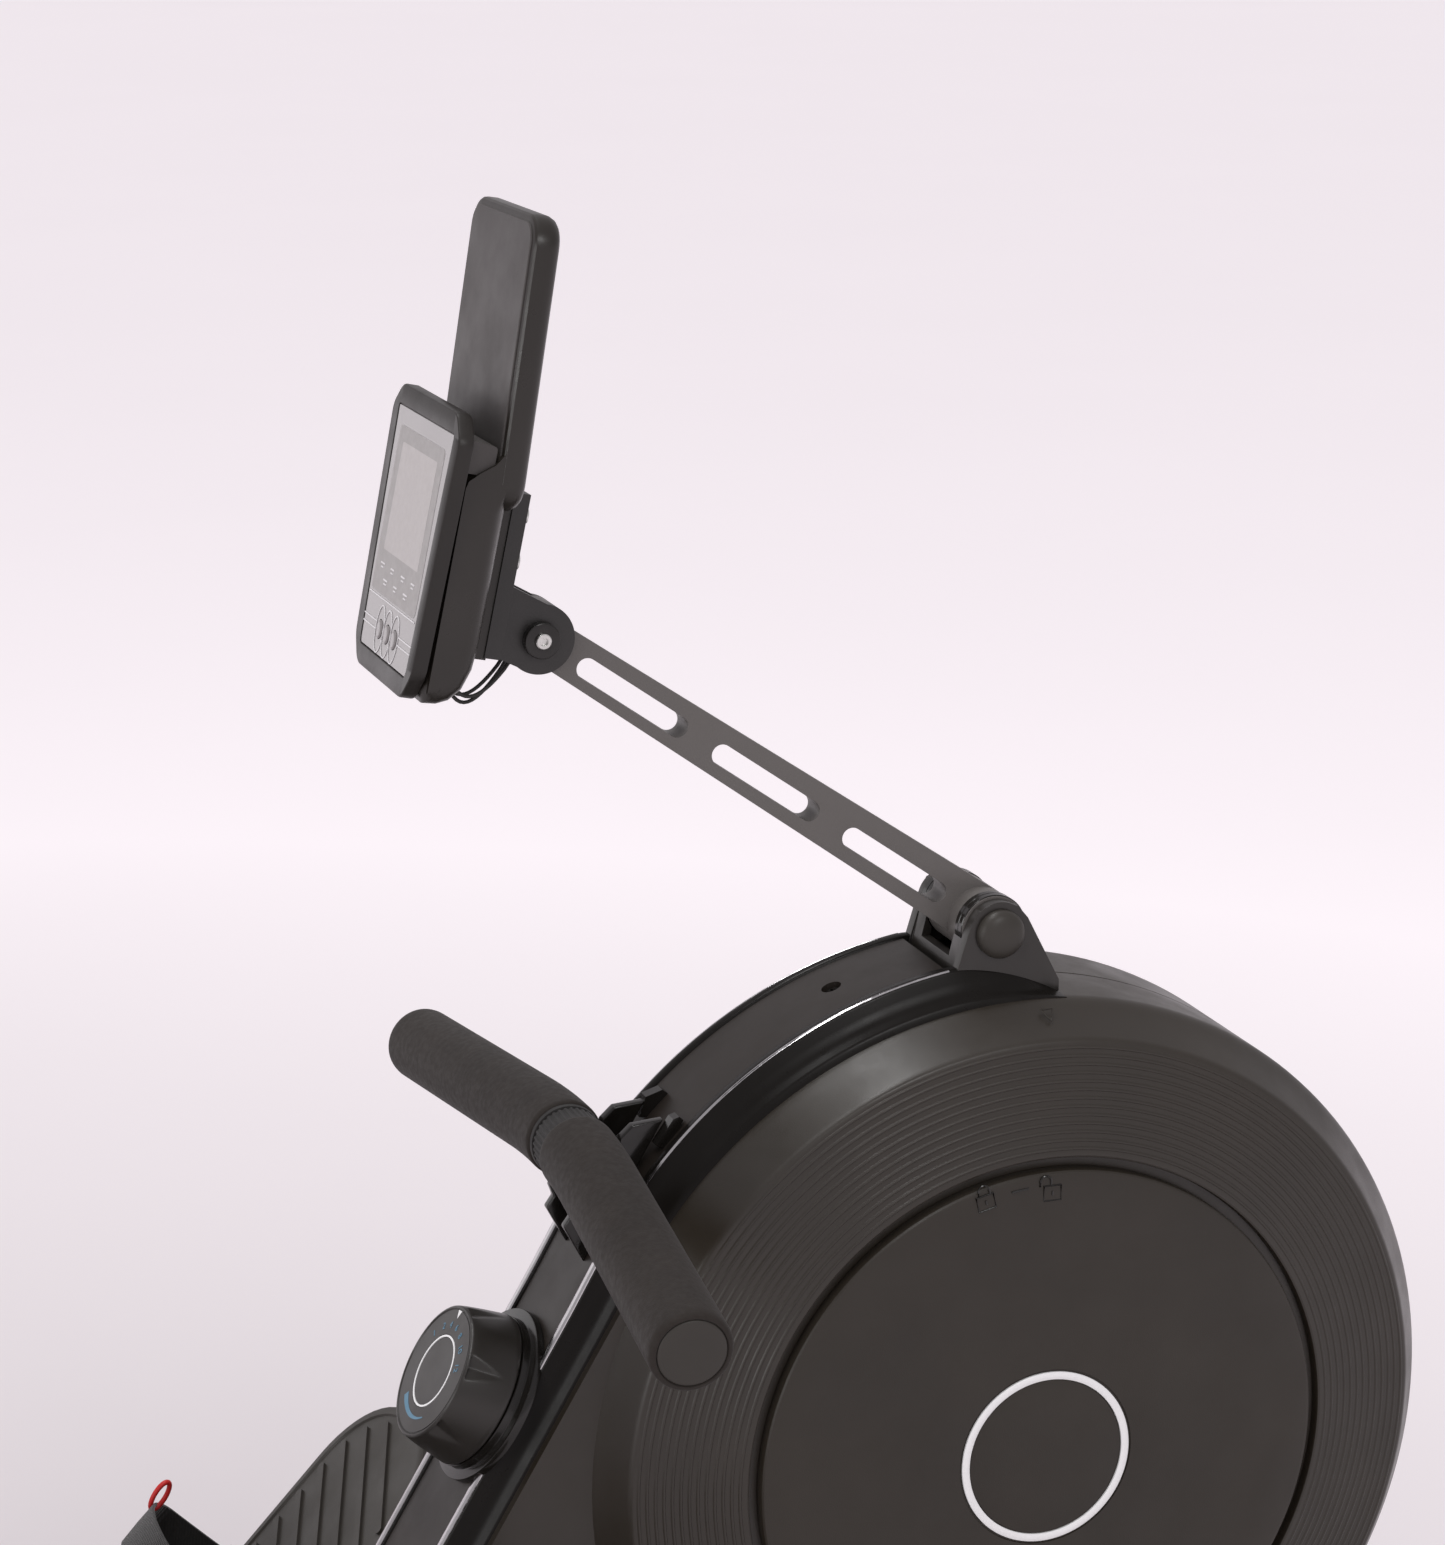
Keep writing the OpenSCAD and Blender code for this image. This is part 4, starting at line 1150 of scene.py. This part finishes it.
def make_wires():
    """Three leads that leave the console's lower edge and enter the end of the arm."""
    names = ("right", "middle", "left")
    for name, y, sag in zip(names, (-6.5, 0, 6.5), (0, 4.5, 2.0)):
        path = []
        for i in range(17):
            t = i / 16
            x = -36.5 + 27.0 * t
            z = -20 + 7.5 * t - (15 + sag) * math.sin(math.pi * t) ** 0.8 * (1 - 0.25 * t)
            path.append((x, y * (1 - 0.25 * t), z))
        bm = bmesh.new()
        tube(bm, path, 0.85, 12)
        start, end = CONSOLE @ Vector(path[4]), CONSOLE @ Vector(path[13])
        nodes = ("console_wires",) if name == "middle" else ()
        piece("lead_" + name, bm, CONSOLE, None, "rubber", nodes, 60,
              ("console", "arm", start, end))

# ---------- handle ----------

BEND_HALF = 50
BEND_ANGLE = math.atan(21 / (204 - BEND_HALF / 2))
BEND_R = BEND_HALF / math.sin(BEND_ANGLE)
STRAIGHT = (204 - BEND_HALF) / math.cos(BEND_ANGLE)
HANDLE = WHEEL @ moved(HANDLE_CENTRE[0], 0, HANDLE_CENTRE[1]) @ about_y(-HANDLE_LEAN) @ moved(-BEND_R, 0, 0)
COLLAR_SHIFT = -4.0


def along_handle(s):
    """A point on the handle's middle line and the direction there. s runs to the rower's left of its middle."""
    side = 1 if s >= 0 else -1
    reach = abs(s)
    arc = BEND_R * BEND_ANGLE
    t = min(reach, arc) / BEND_R
    point = Vector((BEND_R * math.cos(t), BEND_R * math.sin(t), 0))
    direction = Vector((-math.sin(t), math.cos(t), 0))
    point = point + direction * max(0, reach - arc)
    return Vector((point.x, side * point.y, 0)), Vector((side * direction.x, direction.y, 0))


def handle_stretch(bm, stations, sides=56):
    """A turned body along the handle, from (distance, radius) stations."""
    rings = []
    for s, radius in stations:
        point, direction = along_handle(s)
        across = Vector((direction.y, -direction.x, 0))
        turns = [2 * math.pi * k / sides for k in range(sides)]
        rings.append([point + radius * (math.cos(t) * across + Vector((0, 0, math.sin(t)))) for t in turns])
    loft(bm, rings, closed=False)


HANDLE_END = BEND_R * BEND_ANGLE + STRAIGHT


def make_handle():
    for side, sign in (("right", -1), ("left", 1)):
        start = 9 + sign * COLLAR_SHIFT
        stations = [(start, 13.5), (start, 16.2), (start + 0.5, 17.3), (start + 1.6, 17.9),
                    (start + 3, 18.0)]
        middle = 46
        for i in range(1, middle):
            stations.append((start + 3 + (HANDLE_END - start - 7) * i / middle, 18.0))
        stations += [(HANDLE_END - 4, 18.0), (HANDLE_END - 2.2, 17.8), (HANDLE_END - 0.9, 17.2),
                     (HANDLE_END - 0.2, 16.3), (HANDLE_END, 15.4), (HANDLE_END - 0.6, 14.9),
                     (HANDLE_END - 1.2, 14.6)]
        bm = bmesh.new()
        handle_stretch(bm, [(sign * s, r) for s, r in stations])
        nodes = ("handle_grips", "handle_end_caps") if side == "right" else ("handle_bar",)
        grip = piece(side + "_grip", bm, HANDLE, "handle", "foam", nodes, 50)
        bm = bmesh.new()
        stations = [(HANDLE_END - 3, 14.7), (HANDLE_END - 0.5, 14.7), (HANDLE_END - 0.1, 14.4),
                    (HANDLE_END + 0.15, 13.4), (HANDLE_END + 0.4, 9), (HANDLE_END + 0.5, 4),
                    (HANDLE_END + 0.52, 0.4)]
        handle_stretch(bm, [(sign * s, r) for s, r in stations])
        piece(side + "_end_cap", bm, HANDLE, "handle", "cap", smooth=40)
    bm = bmesh.new()
    low, high = COLLAR_SHIFT - 9.3, COLLAR_SHIFT + 9.3
    sides = 144
    rings = []
    for s, base, ribbed in ((low, 12, 0), (low, 15.6, 0), (low + 1.2, 15.9, 0), (low + 1.4, 15.9, 1),
                            (high - 4.4, 15.9, 1), (high - 4.2, 15.2, 0), (high - 3.2, 15.0, 0),
                            (high - 3.0, 16.6, 0), (high - 1.0, 16.9, 0), (high, 16.4, 0), (high, 12, 0)):
        point, direction = along_handle(s)
        across = Vector((direction.y, -direction.x, 0))
        ring = []
        for k in range(sides):
            t = 2 * math.pi * k / sides
            r = base + (0.55 if ribbed and k % 4 in (0, 1) else 0)
            ring.append(point + r * (math.cos(t) * across + Vector((0, 0, math.sin(t)))))
        rings.append(ring)
    loft(bm, rings, closed=False)
    piece("strap_collar", bm, HANDLE, "handle", "rubber", ("handle_collar",), 25)


def make_pull_strap():
    """The flat strap from its slot in the strip to the collar, which runs out as the handle is pulled."""
    bm = bmesh.new()
    rings = []
    for i in range(13):
        z = 218 + (237.5 - 218) * i / 12
        rings.append([(x, y, z) for x, y in rectangle(1.8, 17, 0.8, steps=3)])
    loft(bm, rings, closed=False)
    frame_here = WHEEL @ about_y(-STRAP_LEAN)
    start, end = frame_here @ Vector((0, 0, 225)), frame_here @ Vector((0, 0, 233))
    piece("strap_run", bm, frame_here, None, "webbing", ("pull_strap",), 40,
          ("frame", "handle", start, end))


# ---------- footplates ----------

FOOT_LEN = 282
FOOT_W = 112


def sole_outline(inset):
    x, y = FOOT_LEN / 2 - inset, FOOT_W / 2 - inset
    heel, toe = max(1, 22 - inset), max(1, 50 - inset)
    return rounded([(-x, -y), (x, -y), (x, y), (-x, y)], [heel, toe, toe, heel], 12)


def clip_line(a, b, outline_inset):
    """The part of a line that lies within the sole, found by stepping along it."""
    x, y = FOOT_LEN / 2 - outline_inset, FOOT_W / 2 - outline_inset
    toe = 50 - outline_inset

    def inside(p):
        if abs(p.x) > x or abs(p.y) > y:
            return False
        corner = Vector((x - toe, math.copysign(y - toe, p.y)))
        if p.x > corner.x and abs(p.y) > abs(corner.y):
            return (p - corner).length < toe
        return True

    points = [a.lerp(b, i / 120) for i in range(121)]
    kept = [p for p in points if inside(p)]
    return (kept[0], kept[-1]) if len(kept) > 3 else None


def add_ribs(bm):
    """Slanting ribs across the sole."""
    for x in range(118, -62, -17):
        line = clip_line(Vector((x + 24, -50)), Vector((x - 24, 50)), 9)
        if not line:
            continue
        a, b = line
        along = (b - a).normalized()
        across = Vector((-along.y, along.x)) * 2.1
        corners = [a - across, b - across, b + across, a + across]
        part = bmesh.new()
        prism(part, rounded([tuple(c) for c in corners], 2.0, 4), -2, 0.5)
        bevel(part, 0.5, 2, 50)
        merge(bm, part)


HEEL_X = -62


def add_heel_cup(bm):
    """A wall that follows the sole's outline round the heel, and is lower towards its ends."""
    wall = sorted((Vector(p) for p in sole_outline(0) if p[0] < HEEL_X),
                  key=lambda p: math.atan2(p.y, -p.x))
    wall = [Vector((HEEL_X, -FOOT_W / 2)), *wall, Vector((HEEL_X, FOOT_W / 2))]
    rings = []
    for i, p in enumerate(wall):
        ahead = (wall[min(i + 1, len(wall) - 1)] - wall[max(i - 1, 0)]).normalized()
        inward = Vector((-ahead.y, ahead.x))
        if inward.dot(Vector((-60, 0)) - p) < 0:
            inward = -inward
        rise = 40 * min(1, 0.25 + 0.75 * (HEEL_X - p.x) / 34) if p.x > -96 else 40
        section = [(0, -6), (0, rise - 1.6), (1.2, rise - 0.3), (2.6, rise), (4.0, rise - 0.4),
                   (5, rise - 1.8), (6.5, 3), (8, -2)]
        rings.append([(*(p + inward * t), z) for t, z in section])
    loft(bm, rings, closed=False)


SOLE_LAYERS = ((1.8, -10), (0.5, -9.6), (0, -8.4), (0, -1.6), (0.5, -0.5), (1.6, 0), (4.6, 0), (5.4, -0.9))


def make_sole(side):
    matrix = foot(side)
    bm = bmesh.new()
    stack(bm, SOLE_LAYERS, sole_outline)
    add_ribs(bm)
    add_heel_cup(bm)
    hub = bmesh.new()
    lathe(hub, [(0, 74), (13, 74), (14, 75), (14, 149), (13, 150), (0, 150)], 40)
    hub.transform(matrix.inverted() @ on_side(side, moved(-375, 0, -180)))
    merge(bm, hub)
    piece(side + "_sole", bm, matrix, "pedal_" + side, "cap", ("footplate_" + side,), 32)


def strap_curve(t):
    """A point on the strap's arch for t from 0 to 1: how far across the foot, and how far off the sole."""
    half = FOOT_W / 2 - 2.4
    if t < 0.2:
        return (-half, 0.4 + 40 * t / 0.2)
    if t > 0.8:
        return (half, 0.4 + 40 * (1 - t) / 0.2)
    a = math.pi * (t - 0.2) / 0.6
    return (-half * math.cos(a), 40.4 + half * 0.46 * math.sin(a))


def make_foot_strap(side):
    matrix = foot(side)
    bm = bmesh.new()
    steps = 56
    for low, high, lift in ((-18, 4, 1.0), (2, 26, 2.6)):
        rings = []
        for i in range(steps + 1):
            t = i / steps
            y, z = strap_curve(t)
            before, after = strap_curve(max(0, t - 0.01)), strap_curve(min(1, t + 0.01))
            ahead = Vector((after[0] - before[0], after[1] - before[1])).normalized()
            out = Vector((-ahead.y, ahead.x))
            if out.dot(Vector((y, z - 12))) < 0:
                out = -out
            sway = 2.4 * math.sin(3.1 * t + low * 0.1) * math.sin(math.pi * t)
            section = [(low, 0), (low + 0.5, 0.9), ((low + high) / 2, 1.15), (high - 0.5, 0.9), (high, 0),
                       (high - 0.5, -0.9), ((low + high) / 2, -0.7), (low + 0.5, -0.9)]
            rings.append([(x + sway, y + out.x * (h * 0.9 + lift - 1.6), z + out.y * (h * 0.9 + lift - 1.6))
                          for x, h in section])
        loft(bm, rings, closed=False)
    piece(side + "_strap_web", bm, matrix, "pedal_" + side, "webbing", ("foot_strap_" + side,),
          50)
    bm = bmesh.new()
    path = []
    y0, z0 = strap_curve(0.34)
    for i in range(25):
        a = math.pi * 2 * i / 24
        path.append((32 - 7.5 * math.cos(a), y0 + 1.5 * math.sin(a) - 2,
                     z0 + 3.5 * math.sin(a) + 1.2 * (1 - math.cos(a))))
    tube(bm, path, 1.3, 10)
    piece(side + "_red_loop", bm, matrix, "pedal_" + side, "red", smooth=50)
    for k, sign in enumerate((-1, 1)):
        bm = bmesh.new()
        y = sign * (FOOT_W / 2 - 2.4)
        prism(bm, rectangle(50, 9, 2, (4, y)), -3, 4)
        bevel(bm, 1.0, 2, 40)
        name = "{}_strap_keeper_{}".format(side, "in" if k else "out")
        piece(name, bm, matrix, "pedal_" + side, "cap", smooth=35)


# ---------- seat ----------

SEAT_LEN = 245
SEAT_W = 300
SEAT_LOW = RAIL_TOP + 36 + 8 - 340


def seat_height(x, y):
    """The top of the seat above its base: two sitting hollows, a raised back edge and rounded rims."""
    u, v = x / (SEAT_LEN / 2), y / (SEAT_W / 2)
    edge = max(0.0, 1 - (abs(u) ** 4 + abs(v) ** 4) ** 0.25)
    rim = 1 - math.exp(-edge * 7.5)
    hollow = sum(math.exp(-((u + 0.05) ** 2 / 0.30 + (v - s * 0.42) ** 2 / 0.085)) for s in (-1, 1))
    ridge = math.exp(-(v / 0.14) ** 2) * 0.35
    back = 5.5 * max(0, -u - 0.45)
    return 47 * rim - 7.5 * hollow + 2 * ridge * rim + back * rim - 3.5 * max(0, u - 0.5)


def make_seat_pad():
    bm = bmesh.new()
    base = rectangle(SEAT_LEN - 6, SEAT_W - 6, 56, steps=16)
    rings = [[(x * s, y * s, 0) for x, y in base] for s in (0.5, 0.97)]
    full = [(x * (SEAT_LEN - 4) / (SEAT_LEN - 6), y * (SEAT_W - 4) / (SEAT_W - 6)) for x, y in base]
    for scale, z in ((0.992, 1), (1.0, 4), (1.004, 9), (1.005, 15), (1.004, 21), (1.0, 27)):
        rings.append([(x * scale, y * scale, z) for x, y in full])
    for k in range(1, 25):
        scale = math.cos(math.pi / 2 * k / 24) ** 0.72 if k < 24 else 0.012
        rings.append([(x * scale, y * scale, max(28.0 + 2 * min(1, k / 4),
                                                 seat_height(x * scale, y * scale)))
                      for x, y in full])
    loft(bm, rings, closed=False)
    matrix = WHEEL @ moved(SEAT_X, 0, SEAT_LOW + 0.1)
    mesh = swell(raw(lambda b: merge(b, bm), matrix))
    pad = dress("seat_cushion", mesh, "seat", "vinyl", ("seat_pad",), 60)
    bm = bmesh.new()
    rim = [Vector((x, y)) for x, y in rectangle(SEAT_LEN - 2.2, SEAT_W - 2.2, 58, steps=24)]
    sections = []
    for i, p in enumerate(rim):
        ahead = (rim[(i + 1) % len(rim)] - rim[i - 1]).normalized()
        out = Vector((ahead.y, -ahead.x))
        turns = [2 * math.pi * k / 10 for k in range(10)]
        sections.append([(*(p + out * 1.7 * math.cos(t)), 11 + 1.7 * math.sin(t)) for t in turns])
    loft(bm, sections)
    piece("seat_piping", bm, matrix, "seat", "vinyl", smooth=60)
    bm = bmesh.new()
    prism(bm, rectangle(SEAT_LEN - 14, SEAT_W - 14, 52, steps=12), -0.6, 4)
    bevel(bm, 0.8, 2, 40)
    piece("seat_pan", bm, matrix, "seat", "rubber", smooth=35)


SWELL_CAP = 0.006
SWELL_FRAMES = 20
HELD_HEIGHT = 0.012


def evaluated_mesh(obj):
    """An object's mesh with its modifiers applied. The object is removed."""
    bpy.context.view_layer.update()
    mesh = bpy.data.meshes.new_from_object(obj.evaluated_get(bpy.context.evaluated_depsgraph_get()))
    bpy.data.objects.remove(obj)
    return mesh


def linked(name, mesh):
    obj = bpy.data.objects.new(name, mesh)
    bpy.context.scene.collection.objects.link(obj)
    return obj


def inflated(obj, rest):
    """Where the points of a cushion go in a short cloth simulation under pressure, with its base held."""
    low = min(p.z for p in rest)
    group = obj.vertex_groups.new(name="held")
    group.add([i for i, p in enumerate(rest) if p.z < low + HELD_HEIGHT], 1.0, "REPLACE")
    cloth = obj.modifiers.new("cloth", "CLOTH")
    settings = cloth.settings
    settings.vertex_group_mass = "held"
    settings.use_pressure = True
    settings.uniform_pressure_force = 4
    settings.quality = 5
    settings.tension_stiffness = 20
    settings.bending_stiffness = 2
    settings.effector_weights.gravity = 0
    cloth.point_cache.frame_end = SWELL_FRAMES
    for number in range(1, SWELL_FRAMES + 1):
        bpy.context.scene.frame_set(number)
    posed = obj.evaluated_get(bpy.context.evaluated_depsgraph_get()).to_mesh()
    points = [vertex.co.copy() for vertex in posed.vertices]
    bpy.context.scene.frame_set(1)
    obj.modifiers.clear()
    return points


def swell(mesh):
    """Puffs a cushion up, with no point moved further than the cap, and returns the new mesh."""
    obj = linked("pad_work", mesh)
    remesh = obj.modifiers.new("remesh", "REMESH")
    remesh.mode = "VOXEL"
    remesh.voxel_size = 0.006
    fine = evaluated_mesh(obj)
    rest = [v.co.copy() for v in fine.vertices]
    obj = linked("pad_cloth", fine)
    for vertex, before, after in zip(fine.vertices, rest, inflated(obj, rest)):
        move = after - before
        vertex.co = before + move * min(1, SWELL_CAP / max(move.length, 1e-9))
    fine.update()
    smooth = obj.modifiers.new("smooth", "SMOOTH")
    smooth.iterations = 6
    smooth.factor = 0.5
    round_off = obj.modifiers.new("subdivide", "SUBSURF")
    round_off.levels = 1
    return evaluated_mesh(obj)


# ---------- the rest of the CAD nodes, with broken edges ----------

# Node: material, slot and the width of its broken edges in millimetres
PLAIN_NODES = {
    "main_frame": ("steel", "painted_steel", 1.2),
    "front_stabiliser": ("steel", "painted_steel", 0.8),
    "mid_stabiliser": ("steel", "painted_steel", 0.8),
    "stabiliser_caps": ("rubber", "rubber", 1.2),
    "transport_wheel_right": ("tyre", "wheel_rubber", 1.8),
    "transport_wheel_left": ("tyre", "wheel_rubber", 1.8),
    "wheel_axles": ("zinc", "zinc", 0.5),
    "flywheel_axle": ("zinc", "zinc", 0.5),
    "flywheel": ("iron", "iron", 1.0),
    "strap_reel": ("cap", "cap_plastic", 0.5),
    "brake_bracket": ("zinc", "zinc", 0.5),
    "brake_magnets": ("iron", "iron", 0.5),
    "tension_cable": ("rubber", "rubber", 0),
    "foot_axle_rod": ("zinc", "zinc", 0.8),
    "hinge_pin": ("zinc", "zinc", 0.8),
    "fold_pin": ("red", "red", 1.6),
    "rail": ("aluminium", "aluminium", 1.0),
    "rail_bracket": ("steel", "painted_steel", 1.2),
    "rail_stops": ("rubber", "rubber", 1.8),
    "rail_end_cap": ("rubber", "rubber", 2.2),
    "rear_leg": ("steel", "painted_steel", 1.0),
    "rear_feet": ("rubber", "rubber", 1.2),
    "seat_carriage": ("steel", "painted_steel", 0.6),
    "seat_axles": ("zinc", "zinc", 0.6),
    "rollers_front": ("nylon", "roller_nylon", 1.2),
    "rollers_rear": ("nylon", "roller_nylon", 1.2),
}


def main():
    make_camera()
    make_studio()
    for node, (material, slot, width) in PLAIN_NODES.items():
        refine(node, material, width)
    make_housing()
    make_strip()
    make_covers()
    make_mount()
    make_holder()
    make_knob()
    make_console_front()
    make_console_back()
    make_wires()
    make_handle()
    make_pull_strap()
    for side in SIDES:
        make_sole(side)
        make_foot_strap(side)
    make_seat_pad()


main()
